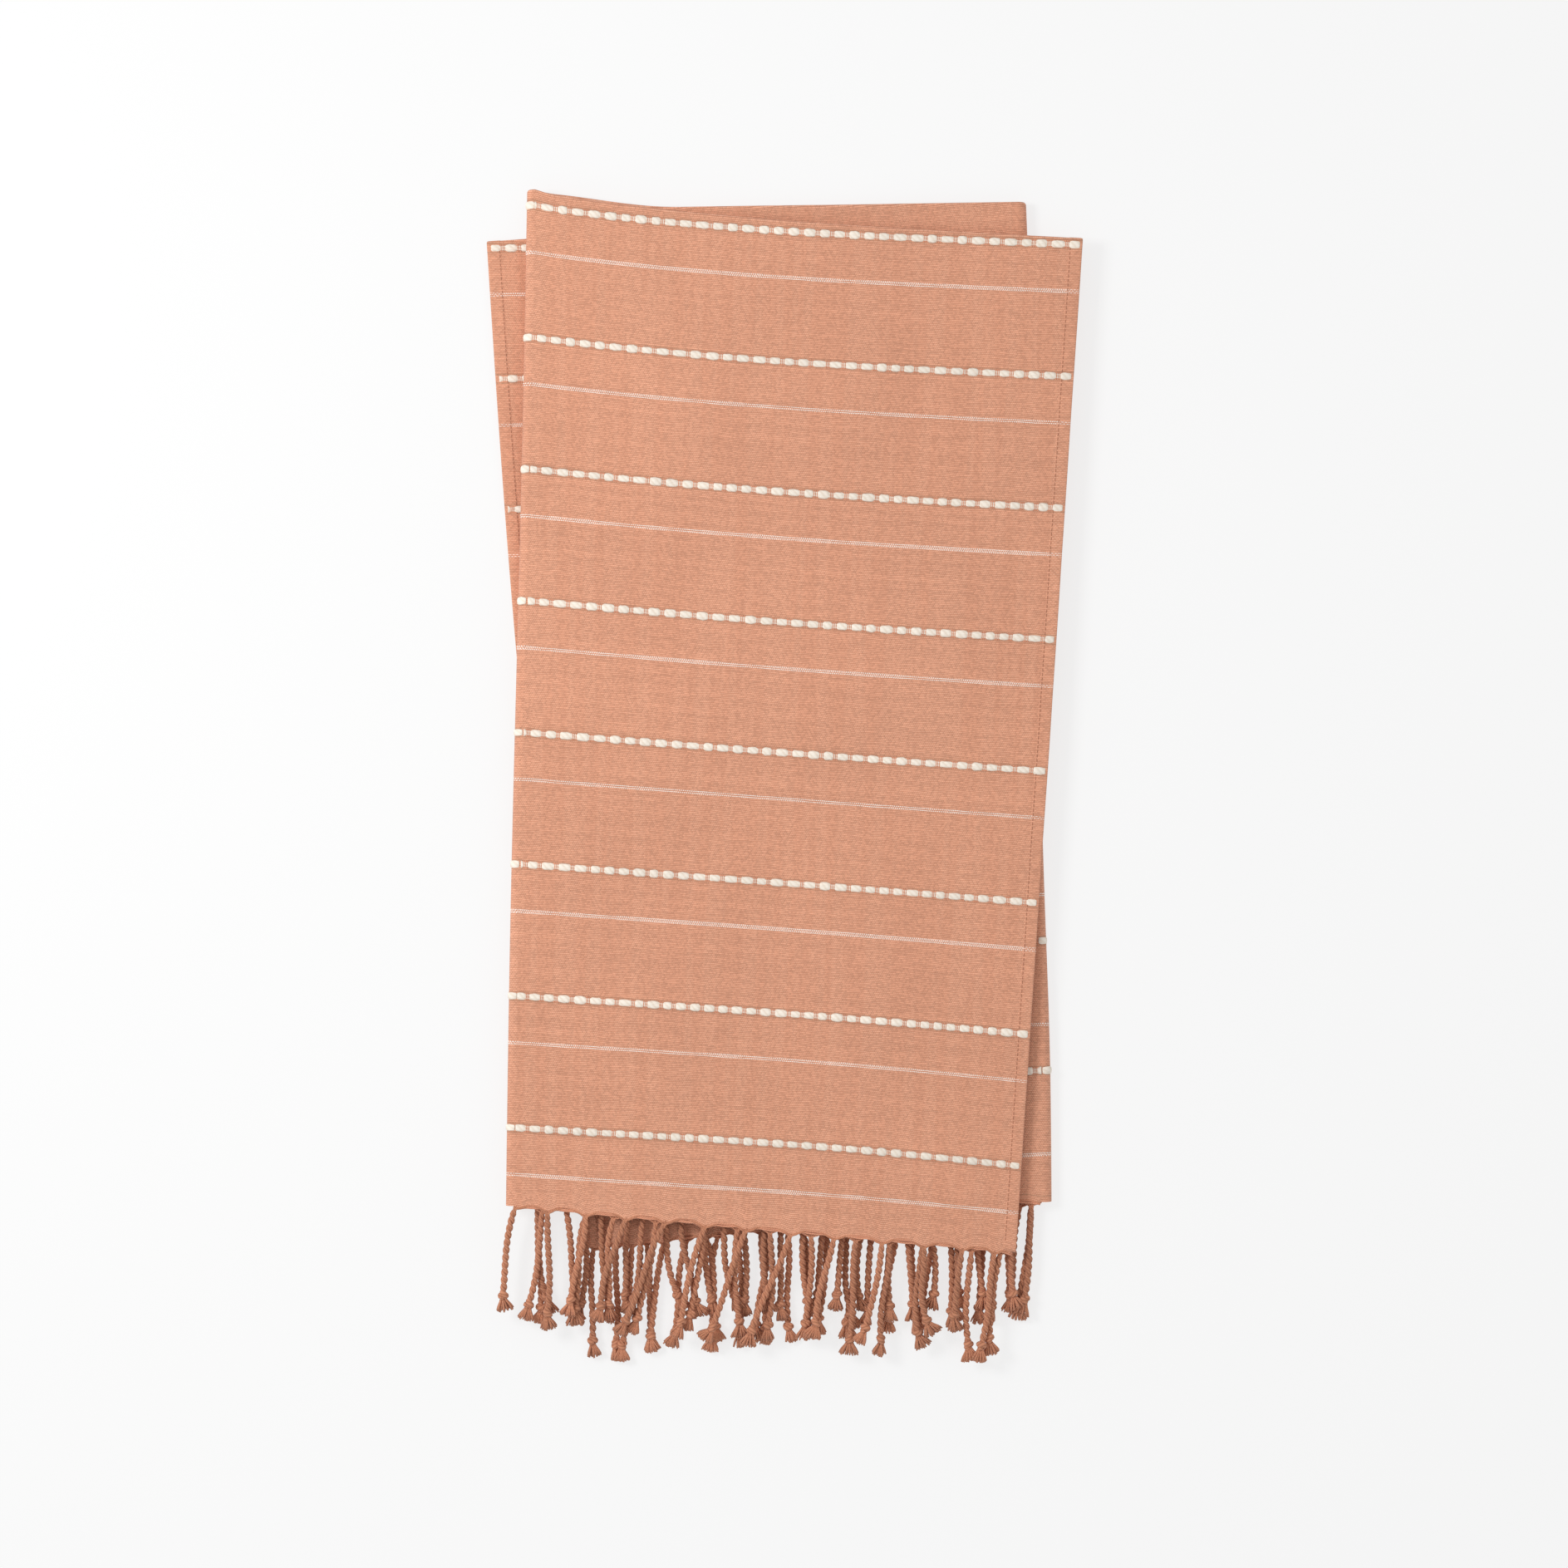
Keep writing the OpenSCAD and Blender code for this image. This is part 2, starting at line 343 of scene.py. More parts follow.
    def _line_point(self, index: int, share: float) -> Vector:
        """A point on a warp line, with its bow."""
        r = self.ruffle
        bow = (
            r.edge_wander * noise.noise(Vector((share * 9, 3.1, 0))),
            r.left_bow * (math.sin(2 * math.pi * share) - math.sin(math.pi * share)),
            r.right_bow * (bump(share, 0.05, 0.08) + bump(share, 0.84, 0.12) - share**12),
            r.back_corner * share**3 - r.back_bow * math.sin(math.pi * min(share, 1)),
        )[index]
        return self.lines[index].at(share) + Vector((bow, 0, 0))

    def _ripple(self, section: Section, x: float, y: float) -> float:
        """Height of a third's soft waves, which stay above the table in the lowest third."""
        r, seed = self.ruffle, 7.0 * section.value
        wave = noise.noise(Vector((x * r.wave_turns, y * r.wave_turns * 0.6, seed)))
        crease = noise.noise(Vector((x * r.crease_turns, y * r.wave_turns * 0.35, seed + 3)))
        ripple = r.wave * wave + r.crease * crease
        if section is Section.BACK:
            return r.table_gap + (ripple + r.wave + r.crease) / 2
        return ripple

    def hang(self, section: Section, across: float, ply: float) -> float:
        """1 at a tassel's root and 0 halfway between two, along a ply's fringed edge."""
        left = self.from_left(section, across)
        roots = self.roots[section, self.is_upper(section, ply)]
        ends = [2 * roots[0] - roots[1], *roots, 2 * roots[-1] - roots[-2]]
        for a, b in zip(ends, ends[1:]):
            if left <= b:
                return 0.5 + 0.5 * math.cos(2 * math.pi * (left - a) / (b - a))
        return 0.0

    def _edge_shift(self, section: Section, across: float, share: float, ply: float) -> float:
        """How far a point moves along Y, at the far fold and at the fringed edge."""
        r, shift = self.ruffle, 0.0
        down, width = share * self.half_length, self.widths[section]
        if section is Section.FRONT:
            skew = (1 - across) ** mix(0.72, 1.35, share)
            shift -= mix(r.sag_far, r.sag_near, share) * math.sin(math.pi * skew)
            near_end = fade(self.half_length - down, r.sag_fade)
            shift += r.sag_near * math.sin(math.pi * skew) * near_end
        elif section is Section.MIDDLE:
            dip = (1 - across) * ease(across / r.dip_rise)
            shift -= r.middle_dip * dip * fade(down, r.dip_fade)
        at_left = {
            Section.FRONT: (1 - across) * width,
            Section.LEFT_FOLD: 0.0,
            Section.MIDDLE: across * width,
        }.get(section, 1.0)
        shift += r.spike * bump(at_left, 0, r.spike_wide) * fade(down, r.spike_fade)
        reach = fade((1 - share) * self.half_length, r.scallop_reach)
        if reach > 0 and section in self.mid_z:
            side = min(across, 1 - across) * width
            depth = 0.72 - 1.2 * self.hang(section, across, ply) ** 3
            shift += r.scallop * reach * depth * ease(side / r.scallop_fade)
        return shift

    def _place(
        self, section: Section, across: float, share: float, ply: float
    ) -> tuple[Vector, Vector]:
        """The point midway between the plies, and the way out towards the first ply.

        Args:
            section: The part of the cloth.
            across: Share of the way across it.
            share: Share of the way down it.
            ply: 1 on the first half of the cloth and -1 on the other.

        Returns:
            The point and a unit vector.
        """
        if section in self.mid_z:
            first = self.THIRDS.index(section)
            a, b = self._line_point(first, share), self._line_point(first + 1, share)
            point = a.lerp(b, across)
            point.z = self.mid_z[section] + self._ripple(section, point.x, point.y)
            out = -UP if section is Section.MIDDLE else UP
        else:
            left = section is Section.LEFT_FOLD
            point = self._line_point(1 if left else 2, share)
            lift = mix(
                self._ripple(Section(section.value - 1), point.x, point.y),
                self._ripple(Section(section.value + 1), point.x, point.y),
                across,
            )
            turn = math.pi * across
            radial = Vector((-math.sin(turn) if left else math.sin(turn), 0, math.cos(turn)))
            point.z = self.axis_z[section] + lift
            point += radial * self.turn_radius
            out = radial if left else -radial
        point.y += self._edge_shift(section, across, share, ply)
        return point, out

    def first_stripe(self, section: Section, across: float) -> float:
        """Run of the first thick stripe."""
        return mix(*self.starts[section], across)

    def weave_spot(self, section: Section, across: float, run: float) -> Vector:
        """Where a point is in the weave: metres along the weft, and along the warp."""
        before = sum(self.widths[part] for part in Section if part.value < section.value)
        weft = before + across * self.widths[section]
        return Vector((weft, run - self.first_stripe(section, across), 0))

    def skin(self, section: Section, across: float, run: float, side: float) -> Vector:
        """A point of the cloth.

        Args:
            section: The part of the cloth.
            across: Share of the way across it.
            run: Metres along the warp from the far fold.
            side: 1 on the ply's outer face, 0 at its middle and -1 on its inner face.

        Returns:
            The point.
        """
        ply = 1 if run >= 0 else -1
        arc, rise = self.bend * math.pi / 2, side * self.PLY / 2
        if abs(run) < arc:
            angle = abs(run) / self.bend
            out_by = (self.bend + rise) * math.sin(angle)
            down = self.bend - (self.bend + rise) * math.cos(angle)
        else:
            out_by, down = self.bend + rise, abs(run) - arc + self.bend
        point, out = self._place(section, across, max(down, 0) / self.half_length, ply)
        return point + out * (ply * out_by) + Vector((0, -min(down, 0), 0))

    @property
    def full_run(self) -> float:
        """Metres of warp from the far fold to the fringed edge."""
        return self.half_length - self.bend + self.bend * math.pi / 2

    def runs(self) -> list[float]:
        """Runs of the rows of a mesh, from the fringed edge up to the far fold."""
        end = self.full_run
        return [
            *steps(end, end - 30 * MM, 3 * MM),
            *steps(end - 30 * MM, 40 * MM, 7 * MM)[1:],
            *steps(40 * MM, 5 * MM, 3.5 * MM)[1:],
            *steps(5 * MM, 0, 0.7 * MM)[1:],
        ]

    def rows(self, section: Section, ply: int, offset: float) -> list[Callable[[float], float]]:
        """The stripes on one ply of a section.

        Args:
            section: The part of the cloth.
            ply: 1 or -1.
            offset: Run from a thick stripe to the wanted one.

        Returns:
            For each stripe, its run at a share of the way across.
        """
        margin, found = 5 * MM, []
        for n in range(12):
            gap = n * ply * self.stripe_pitch + offset
            sides = [(start + gap) * ply for start in self.starts[section]]
            if min(sides) > margin and max(sides) < self.full_run - margin:
                found.append(lambda across, gap=gap: self.first_stripe(section, across) + gap)
        return found


class RowPath:
    """A line across one section of the cloth, with the cloth's directions along it."""

    def __init__(
        self, stack: Stack, section: Section, run_at: Callable[[float], float], side: float = 1
    ) -> None:
        """Sample the cloth along the line.

        Args:
            stack: The cloth.
            section: The part of the cloth.
            run_at: Run of the line at a share of the way across.
            side: The face that it lies on.
        """
        self.length = stack.widths[section]
        self.shares = steps(0, 1, min(0.1, 7 * MM / self.length))
        self.points, self.downs, self.normals = [], [], []
        for across in self.shares:
            run = run_at(across)
            here = stack.skin(section, across, run, side)
            ahead = stack.skin(section, across, run + 0.5 * MM, side)
            behind = stack.skin(section, across, run - 0.5 * MM, side)
            inside = stack.skin(section, across, run, side - 1)
            self.points.append(here)
            self.downs.append((ahead - behind).normalized())
            self.normals.append((here - inside).normalized())

    def at(self, distance: float) -> tuple[Vector, Vector, Vector]:
        """The point, the warp direction and the outward direction a distance across.

        Args:
            distance: Metres from the section's first side.

        Returns:
            The three vectors.
        """
        place = min(max(distance / self.length, 0), 1) * (len(self.shares) - 1)
        index = min(int(place), len(self.shares) - 2)
        share = place - index
        return tuple(
            values[index].lerp(values[index + 1], share)
            for values in (self.points, self.downs, self.normals)
        )


# ---------------------------------------------------------------------------------------------
# Meshes
# ---------------------------------------------------------------------------------------------
@dataclass(frozen=True)
class Ring:
    """One cross-section of a yarn, at a distance along it."""

    middle: Vector
    wide: Vector
    high: Vector
    run: float


class YarnMesh:
    """A mesh of closed tubes, each with its place along and round the yarn."""

    def __init__(self) -> None:
        """Start an empty mesh."""
        self.mesh = bmesh.new()
        self.yarn = self.mesh.verts.layers.float_vector.new("yarn")
        self.weave = self.mesh.verts.layers.float_vector.new("weave")
        self.tone = self.mesh.verts.layers.float.new("tone")

    def tube(
        self, rings: Sequence[Ring], sides: int, tone: float = 0.5, square: float = 1.0
    ) -> list[bmesh.types.BMVert]:
        """Add a tube through the rings, closed where its first and last ring have no size.

        Args:
            rings: The cross-sections, in order.
            sides: Faces round the tube.
            tone: Shade of the yarn, from 0 to 1.
            square: 1 for an ellipse, and less for a flatter section.

        Returns:
            The new vertices, ring by ring, with the first of each ring twice.
        """
        grid = bmesh.ops.create_grid(
            self.mesh, x_segments=sides, y_segments=len(rings) - 1, size=1.0
        )["verts"]
        turns = [2 * math.pi * (k % sides) / sides for k in range(sides + 1)]
        circle = [(math.cos(t), math.sin(t)) for t in turns]
        shape = [
            tuple(math.copysign(abs(value) ** square, value) for value in pair) for pair in circle
        ]
        for n, vert in enumerate(grid):
            ring, k = rings[n // (sides + 1)], n % (sides + 1)
            vert.co = ring.middle + ring.wide * shape[k][0] + ring.high * shape[k][1]
            vert[self.yarn] = (ring.run, circle[k][0], circle[k][1])
            vert[self.tone] = tone
        return grid

    def finish(self, name: str, material: bpy.types.Material) -> bpy.types.Object:
        """Weld the seams and make the object.

        Args:
            name: The piece's name.
            material: Its finish.

        Returns:
            The new object.
        """
        bmesh.ops.remove_doubles(self.mesh, verts=self.mesh.verts, dist=1e-6)
        bmesh.ops.recalc_face_normals(self.mesh, faces=self.mesh.faces)
        return add_object(self.mesh, name, material)


def add_object(
    mesh: bmesh.types.BMesh, name: str, material: bpy.types.Material
) -> bpy.types.Object:
    """Turn a finished bmesh into a smooth object of the scene.

    Args:
        mesh: The mesh, which is freed.
        name: The object's name.
        material: Its finish.

    Returns:
        The new object, at the origin.
    """
    data = bpy.data.meshes.new(name)
    mesh.to_mesh(data)
    mesh.free()
    data.shade_smooth()
    data.materials.append(material)
    piece = bpy.data.objects.new(name, data)
    bpy.context.scene.collection.objects.link(piece)
    return piece


def pinched(rings: list[Ring]) -> list[Ring]:
    """The rings with a point at both ends, so that the tube is closed."""
    none = Vector((0, 0, 0))
    first, last = rings[0], rings[-1]
    return [
        Ring(first.middle, none, none, first.run),
        *rings,
        Ring(last.middle, none, none, last.run),
    ]


def along(
    points: Sequence[Vector], radii: Sequence[float], flat: float = 1.0, start: float = 0.0
) -> list[Ring]:
    """Rings of a yarn that runs through points, level across.

    Args:
        points: The middle of each ring.
        radii: The half width of each ring.
        flat: Half height as a share of the half width.
        start: Run of the first ring.

    Returns:
        The rings.
    """
    rings, run = [], start
    for i, point in enumerate(points):
        ahead = (points[min(i + 1, len(points) - 1)] - points[max(i - 1, 0)]).normalized()
        wide = ahead.cross(UP)
        wide = wide.normalized() if wide.length > 1e-4 else Vector((1, 0, 0))
        high = wide.cross(ahead).normalized()
        if i:
            run += (point - points[i - 1]).length
        rings.append(Ring(point, wide * radii[i], high * (radii[i] * flat), run))
    return rings


# ---------------------------------------------------------------------------------------------
# Shader nodes
# ---------------------------------------------------------------------------------------------
Value = bpy.types.NodeSocket | float
Colour = tuple[float, float, float]


class Graph:
    """Short ways to add and join the nodes of one node tree."""

    def __init__(self, tree: bpy.types.NodeTree) -> None:
        """Take the tree that the nodes go in."""
        self.tree = tree

    def add(self, kind: str, **settings: object) -> bpy.types.Node:
        """Add a node with its settings."""
        node = self.tree.nodes.new(kind)
        for name, value in settings.items():
            setattr(node, name, value)
        return node

    def feed(self, socket: bpy.types.NodeSocket, value: Value | Vector | Colour) -> None:
        """Link a socket into another one, or set its value."""
        if isinstance(value, bpy.types.NodeSocket):
            self.tree.links.new(value, socket)
        elif socket.type == "RGBA":
            socket.default_value = (*value, 1.0)
        else:
            socket.default_value = value

    def math(self, operation: str, *values: Value, clamp: bool = False) -> bpy.types.NodeSocket:
        """A Math node."""
        node = self.add("ShaderNodeMath", operation=operation, use_clamp=clamp)
        for socket, value in zip(node.inputs, values):
            self.feed(socket, value)
        return node.outputs[0]

    def scale(self, vector: Value, factors: Colour) -> bpy.types.NodeSocket:
        """A vector with each of its parts multiplied."""
        node = self.add("ShaderNodeVectorMath", operation="MULTIPLY")
        self.feed(node.inputs[0], vector)
        self.feed(node.inputs[1], Vector(factors))
        return node.outputs[0]

    def remap(
        self, value: Value, low: float, high: float, to_low: float = 0.0, to_high: float = 1.0
    ) -> bpy.types.NodeSocket:
        """A smooth step from one range to another."""
        node = self.add("ShaderNodeMapRange", interpolation_type="SMOOTHSTEP")
        for socket, item in zip(node.inputs, (value, low, high, to_low, to_high)):
            self.feed(socket, item)
        return node.outputs[0]

    def noise(self, vector: Value, scale: float, detail: float = 2.0) -> bpy.types.NodeSocket:
        """A noise value from 0 to 1."""
        node = self.add("ShaderNodeTexNoise")
        self.feed(node.inputs["Vector"], vector)
        self.feed(node.inputs["Scale"], scale)
        self.feed(node.inputs["Detail"], detail)
        return node.outputs[0]

    def blend(self, factor: Value, a: Value | Colour, b: Value | Colour) -> bpy.types.NodeSocket:
        """A mix of two colours."""
        node = self.add("ShaderNodeMix", data_type="RGBA", clamp_factor=True)
        self.feed(node.inputs["Factor"], factor)
        sockets = [s for s in node.inputs if s.type == "RGBA"]
        self.feed(sockets[0], a)
        self.feed(sockets[1], b)
        return next(s for s in node.outputs if s.type == "RGBA")

    def brighten(self, colour: Value, factor: Value) -> bpy.types.NodeSocket:
        """A colour with its parts multiplied by a value."""
        node = self.add("ShaderNodeVectorMath", operation="SCALE")
        self.feed(node.inputs[0], colour)
        self.feed(node.inputs["Scale"], factor)
        return node.outputs[0]

    def parts(self, vector: Value) -> list[bpy.types.NodeSocket]:
        """The three parts of a vector."""
        node = self.add("ShaderNodeSeparateXYZ")
        self.feed(node.inputs[0], vector)
        return list(node.outputs)

    def attribute(self, name: str) -> bpy.types.Node:
        """A mesh attribute."""
        return self.add("ShaderNodeAttribute", attribute_name=name)


def new_group(
    name: str, inputs: dict[str, str | float], outputs: Sequence[str]
) -> tuple[bpy.types.NodeTree, Graph, bpy.types.Node, bpy.types.Node]:
    """Start a shader node group.

    Args:
        name: The group's name.
        inputs: Name of each input, with "vector" or its default value.
        outputs: Names of the value outputs.

    Returns:
        The group, its graph and its input and output nodes.
    """
    group = bpy.data.node_groups.new(name, "ShaderNodeTree")
    for key, default in inputs.items():
        kind = "NodeSocketVector" if default == "vector" else "NodeSocketFloat"
        socket = group.interface.new_socket(key, in_out="INPUT", socket_type=kind)
        if kind == "NodeSocketFloat":
            socket.default_value = default
    for key in outputs:
        group.interface.new_socket(key, in_out="OUTPUT", socket_type="NodeSocketFloat")
    graph = Graph(group)
    return group, graph, graph.add("NodeGroupInput"), graph.add("NodeGroupOutput")


def plain_weave_group() -> bpy.types.NodeTree:
    """Picks side by side, each broken into dots where the warp threads cross over it.

    Returns:
        A group that gives Height, Dots, Pick Tone, Speck and the mask of the painted shade in the
        grooves between the picks, from a place in the weave.
    """
    inputs = {
        "Weave": "vector", "Pick Pitch": 1.42 * MM, "End Pitch": 1.6 * MM, "Wander": 0.5 * MM
    }
    outputs = ("Height", "Groove", "Dots", "Pick Tone", "Speck")
    group, g, ins, outs = new_group("Plain Weave", inputs, outputs)
    weft, warp, _ = g.parts(ins.outputs["Weave"])
    drift = g.math("SUBTRACT", g.noise(g.scale(ins.outputs["Weave"], (1, 0.6, 0)), 30.0, 3.0), 0.5)
    moved = g.math("MULTIPLY_ADD", drift, g.math("MULTIPLY", ins.outputs["Wander"], 6.0), warp)
    pick = g.math("DIVIDE", moved, ins.outputs["Pick Pitch"])
    number = g.math("FLOOR", g.math("ADD", pick, 0.5))
    rib = g.math("MULTIPLY_ADD", g.math("COSINE", g.math("MULTIPLY", pick, math.tau)), 0.5, 0.5)
    end = g.math("MULTIPLY_ADD", number, 0.5, g.math("DIVIDE", weft, ins.outputs["End Pitch"]))
    dot = g.math("MULTIPLY_ADD", g.math("COSINE", g.math("MULTIPLY", end, math.tau)), 0.5, 0.5)
    bands = g.remap(g.noise(g.scale(ins.outputs["Weave"], (1, 0.04, 0)), 110.0, 1.0), 0.38, 0.62)
    tone = g.add("ShaderNodeTexWhiteNoise", noise_dimensions="1D")
    g.feed(tone.inputs["W"], number)
    crossing = g.add("ShaderNodeCombineXYZ")
    g.feed(crossing.inputs[0], g.math("FLOOR", end))
    g.feed(crossing.inputs[1], number)
    speck = g.add("ShaderNodeTexWhiteNoise", noise_dimensions="2D")
    g.feed(speck.inputs["Vector"], crossing.outputs[0])
    g.feed(outs.inputs["Speck"], speck.outputs[0])
    slow = g.noise(g.scale(ins.outputs["Weave"], (4, 700, 0)), 1.0, 1.0)
    streak = g.noise(g.scale(ins.outputs["Weave"], (520, 5, 0)), 1.0, 2.0)
    thread = g.math("MULTIPLY_ADD", streak, 0.5, g.math("MULTIPLY", slow, 0.5))
    broken = g.math("MULTIPLY_ADD", dot, -0.5, 1.0)
    # mask of the painted shade in the grooves between the picks
    groove = g.math("POWER", g.math("SUBTRACT", 1.0, rib), 1.6)
    shown = g.math("MULTIPLY_ADD", bands, 0.6, 0.4)
    g.feed(outs.inputs["Height"], g.math("MULTIPLY", rib, g.math("MULTIPLY_ADD", dot, 0.45, 0.55)))
    g.feed(outs.inputs["Groove"], g.math("MULTIPLY", groove, broken))
    g.feed(outs.inputs["Dots"], g.math("MULTIPLY", g.math("MULTIPLY", dot, rib), shown))
    threads = g.math("MULTIPLY", thread, 0.6)
    g.feed(outs.inputs["Pick Tone"], g.math("MULTIPLY_ADD", tone.outputs[0], 0.4, threads))
    return group


def spun_yarn_group() -> bpy.types.NodeTree:
    """Twisted strands and fine fibres on a yarn.

    Returns:
        A group that gives Height, Fibre and the mask of the painted shade in the creases between
        the strands, from a place along and round the yarn.
    """
    inputs = {"Yarn": "vector", "Strands": 4.0, "Lay": 9.0 * MM, "Fibre Scale": 1.0}
    group, g, ins, outs = new_group("Spun Yarn", inputs, ("Height", "Crease", "Fibre"))
    run, cosine, sine = g.parts(ins.outputs["Yarn"])
    turn = g.math("DIVIDE", g.math("ARCTAN2", sine, cosine), math.tau)
    twist = g.math("SUBTRACT", g.math("DIVIDE", run, ins.outputs["Lay"]), turn)
    strand = g.math("MULTIPLY", g.math("MULTIPLY", twist, ins.outputs["Strands"]), math.tau)
    ridge = g.math("MULTIPLY_ADD", g.math("COSINE", strand), 0.5, 0.5)
    stretched = g.scale(ins.outputs["Yarn"], (260.0, 2.4, 2.4))
    fibre = g.noise(stretched, ins.outputs["Fibre Scale"], 4.0)
    strands = g.math("MULTIPLY", ridge, 0.6)
    g.feed(outs.inputs["Height"], g.math("MULTIPLY_ADD", fibre, 0.5, strands))
    # mask of the painted shade in the creases between the twisted strands
    g.feed(outs.inputs["Crease"], g.math("POWER", g.math("SUBTRACT", 1.0, ridge), 2.0))
    g.feed(outs.inputs["Fibre"], fibre)
    return group


def handling_group() -> bpy.types.NodeTree:
    """Soft patches from washing and folding, and small flecks of lint.

    Returns:
        A group that gives Patch and Fleck from a place on the object.
    """
    inputs = {"Place": "vector", "Patch Scale": 9.0, "Fleck Scale": 420.0}
    group, g, ins, outs = new_group("Washed Cloth", inputs, ("Patch", "Fleck"))
    broad = g.noise(ins.outputs["Place"], ins.outputs["Patch Scale"], 3.0)
    fine = g.noise(ins.outputs["Place"], ins.outputs["Fleck Scale"], 1.0)
    g.feed(outs.inputs["Patch"], g.remap(broad, 0.3, 0.7))
    g.feed(outs.inputs["Fleck"], g.remap(fine, 0.62, 0.78))
    return group


class Effects:
    """The shared node groups, made once."""

    def __init__(self) -> None:
        """Build the groups."""
        self.weave = plain_weave_group()
        self.yarn = spun_yarn_group()
        self.handling = handling_group()

    @staticmethod
    def use(
        g: Graph, group: bpy.types.NodeTree, source: bpy.types.NodeSocket, **values: float
    ) -> dict[str, bpy.types.NodeSocket]:
        """Place a group in a material.

        Args:
            g: The material's graph.
            group: The node group.
            source: What feeds the group's first input.
            values: The group's other inputs, with _ for each space.

        Returns:
            The group's outputs by name.
        """
        node = g.add("ShaderNodeGroup", node_tree=group)
        g.feed(node.inputs[0], source)
        for name, value in values.items():
            node.inputs[name.replace("_", " ")].default_value = value
        return {socket.name: socket for socket in node.outputs}


def new_material(
    name: str, roughness: float, sheen: float
) -> tuple[bpy.types.Material, Graph, bpy.types.Node]:
    """Start a fabric material.

    Args:
        name: The material's name.
        roughness: Its mean roughness.
        sheen: Strength of the soft glow of its loose fibres.

    Returns:
        The material, its graph and its Principled BSDF.
    """
    material = bpy.data.materials.new(name)
    material.use_nodes = True
    shader = material.node_tree.nodes["Principled BSDF"]
    shader.inputs["Roughness"].default_value = roughness
    shader.inputs["Specular IOR Level"].default_value = 0.2
    shader.inputs["Sheen Weight"].default_value = sheen
    shader.inputs["Sheen Roughness"].default_value = 0.6
    return material, Graph(material.node_tree), shader


def dress(
    g: Graph,
    shader: bpy.types.Node,
    colour: bpy.types.NodeSocket,
    roughness: bpy.types.NodeSocket,
    relief: tuple[bpy.types.NodeSocket, float, float],
) -> None:
    """Join a colour, a roughness and a relief to the shader.

    Args:
        g: The material's graph.
        shader: The Principled BSDF.
        colour: The base colour.
        roughness: The roughness.
        relief: Height, its strength and its distance in metres.
    """
    bump_node = g.add("ShaderNodeBump")
    g.feed(bump_node.inputs["Height"], relief[0])
    g.feed(bump_node.inputs["Strength"], relief[1])
    g.feed(bump_node.inputs["Distance"], relief[2])
    g.feed(shader.inputs["Base Color"], colour)
    g.feed(shader.inputs["Roughness"], roughness)
    g.feed(shader.inputs["Normal"], bump_node.outputs[0])


@dataclass(frozen=True)
class ClothFinish:
    """Hand-woven cotton with thin ivory stripes, painted shade in its grooves and a painted shadow
    beside each thick stripe.
    """

    name: str
    rib: Colour = (0.725, 0.347, 0.22)
    # painted shade: the colour that the grooves between the picks are darkened towards
    groove: Colour = (0.43, 0.155, 0.082)
    dot: Colour = (0.88, 0.53, 0.37)
    ivory: Colour = (0.93, 0.86, 0.80)
    shadow: Colour = (0.30, 0.17, 0.105)
    dot_share: float = 0.55
    shadow_share: float = 0.42
    stripe_share: float = 0.8
    stripe_edge: tuple[float, float] = (1.5 * MM, 1.8 * MM)
    shadow_rise: tuple[float, float] = (2.4 * MM, 3.4 * MM)
    shadow_fall: tuple[float, float] = (3.4 * MM, 4.6 * MM)
    bump_strength: float = 0.55
    bump_height: float = 0.45 * MM
    # strength of the painted shade in the grooves
    contrast: float = 0.95
    roughness: float = 0.93
    sheen: float = 0.12

    def material(self, effects: Effects, stripe_pitch: float) -> bpy.types.Material:
        """Build the material.

        Args:
            effects: The shared node groups.
            stripe_pitch: Distance from one thick stripe to the next.

        Returns:
            The material.
        """
        material, g, shader = new_material(self.name, self.roughness, self.sheen)
        weave = g.attribute("weave").outputs["Vector"]
        place = g.add("ShaderNodeTexCoord").outputs["Object"]
        cloth = effects.use(g, effects.weave, weave)
        worn = effects.use(g, effects.handling, place)
        # painted shade: the grooves between the picks are darkened towards the groove colour
        colour = g.blend(g.math("MULTIPLY", cloth["Groove"], self.contrast), self.rib, self.groove)
        colour = g.blend(g.math("MULTIPLY", cloth["Dots"], self.dot_share), colour, self.dot)
        _, warp, _ = g.parts(weave)
        near_thick = g.math("PINGPONG", warp, stripe_pitch / 2)
        edge = g.remap(near_thick, *self.shadow_rise)
        edge = g.math("MULTIPLY", edge, g.remap(near_thick, *self.shadow_fall, 1.0, 0.0))
        colour = g.blend(g.math("MULTIPLY", edge, self.shadow_share), colour, self.shadow)
        near_thin = g.math("PINGPONG", g.math("SUBTRACT", warp, THIN_OFFSET), stripe_pitch / 2)
        stripe = g.remap(near_thin, *self.stripe_edge, 1.0, 0.0)
        stripe = g.math("MULTIPLY", stripe, g.remap(cloth["Height"], 0.5, 0.9))
        colour = g.blend(g.math("MULTIPLY", stripe, self.stripe_share), colour, self.ivory)
        tone = g.math("MULTIPLY_ADD", cloth["Pick Tone"], 0.2, 0.9)
        tone = g.math("MULTIPLY", tone, g.math("MULTIPLY_ADD", worn["Patch"], 0.05, 0.975))
        tone = g.math("MULTIPLY_ADD", worn["Fleck"], 0.06, tone)
        tone = g.math("MULTIPLY", tone, g.math("MULTIPLY_ADD", cloth["Speck"], 0.24, 0.89))
        roughness = g.math("MULTIPLY_ADD", worn["Patch"], 0.06, self.roughness - 0.03)
        relief = (cloth["Height"], self.bump_strength, self.bump_height)
        dress(g, shader, g.brighten(colour, tone), roughness, relief)
        return material


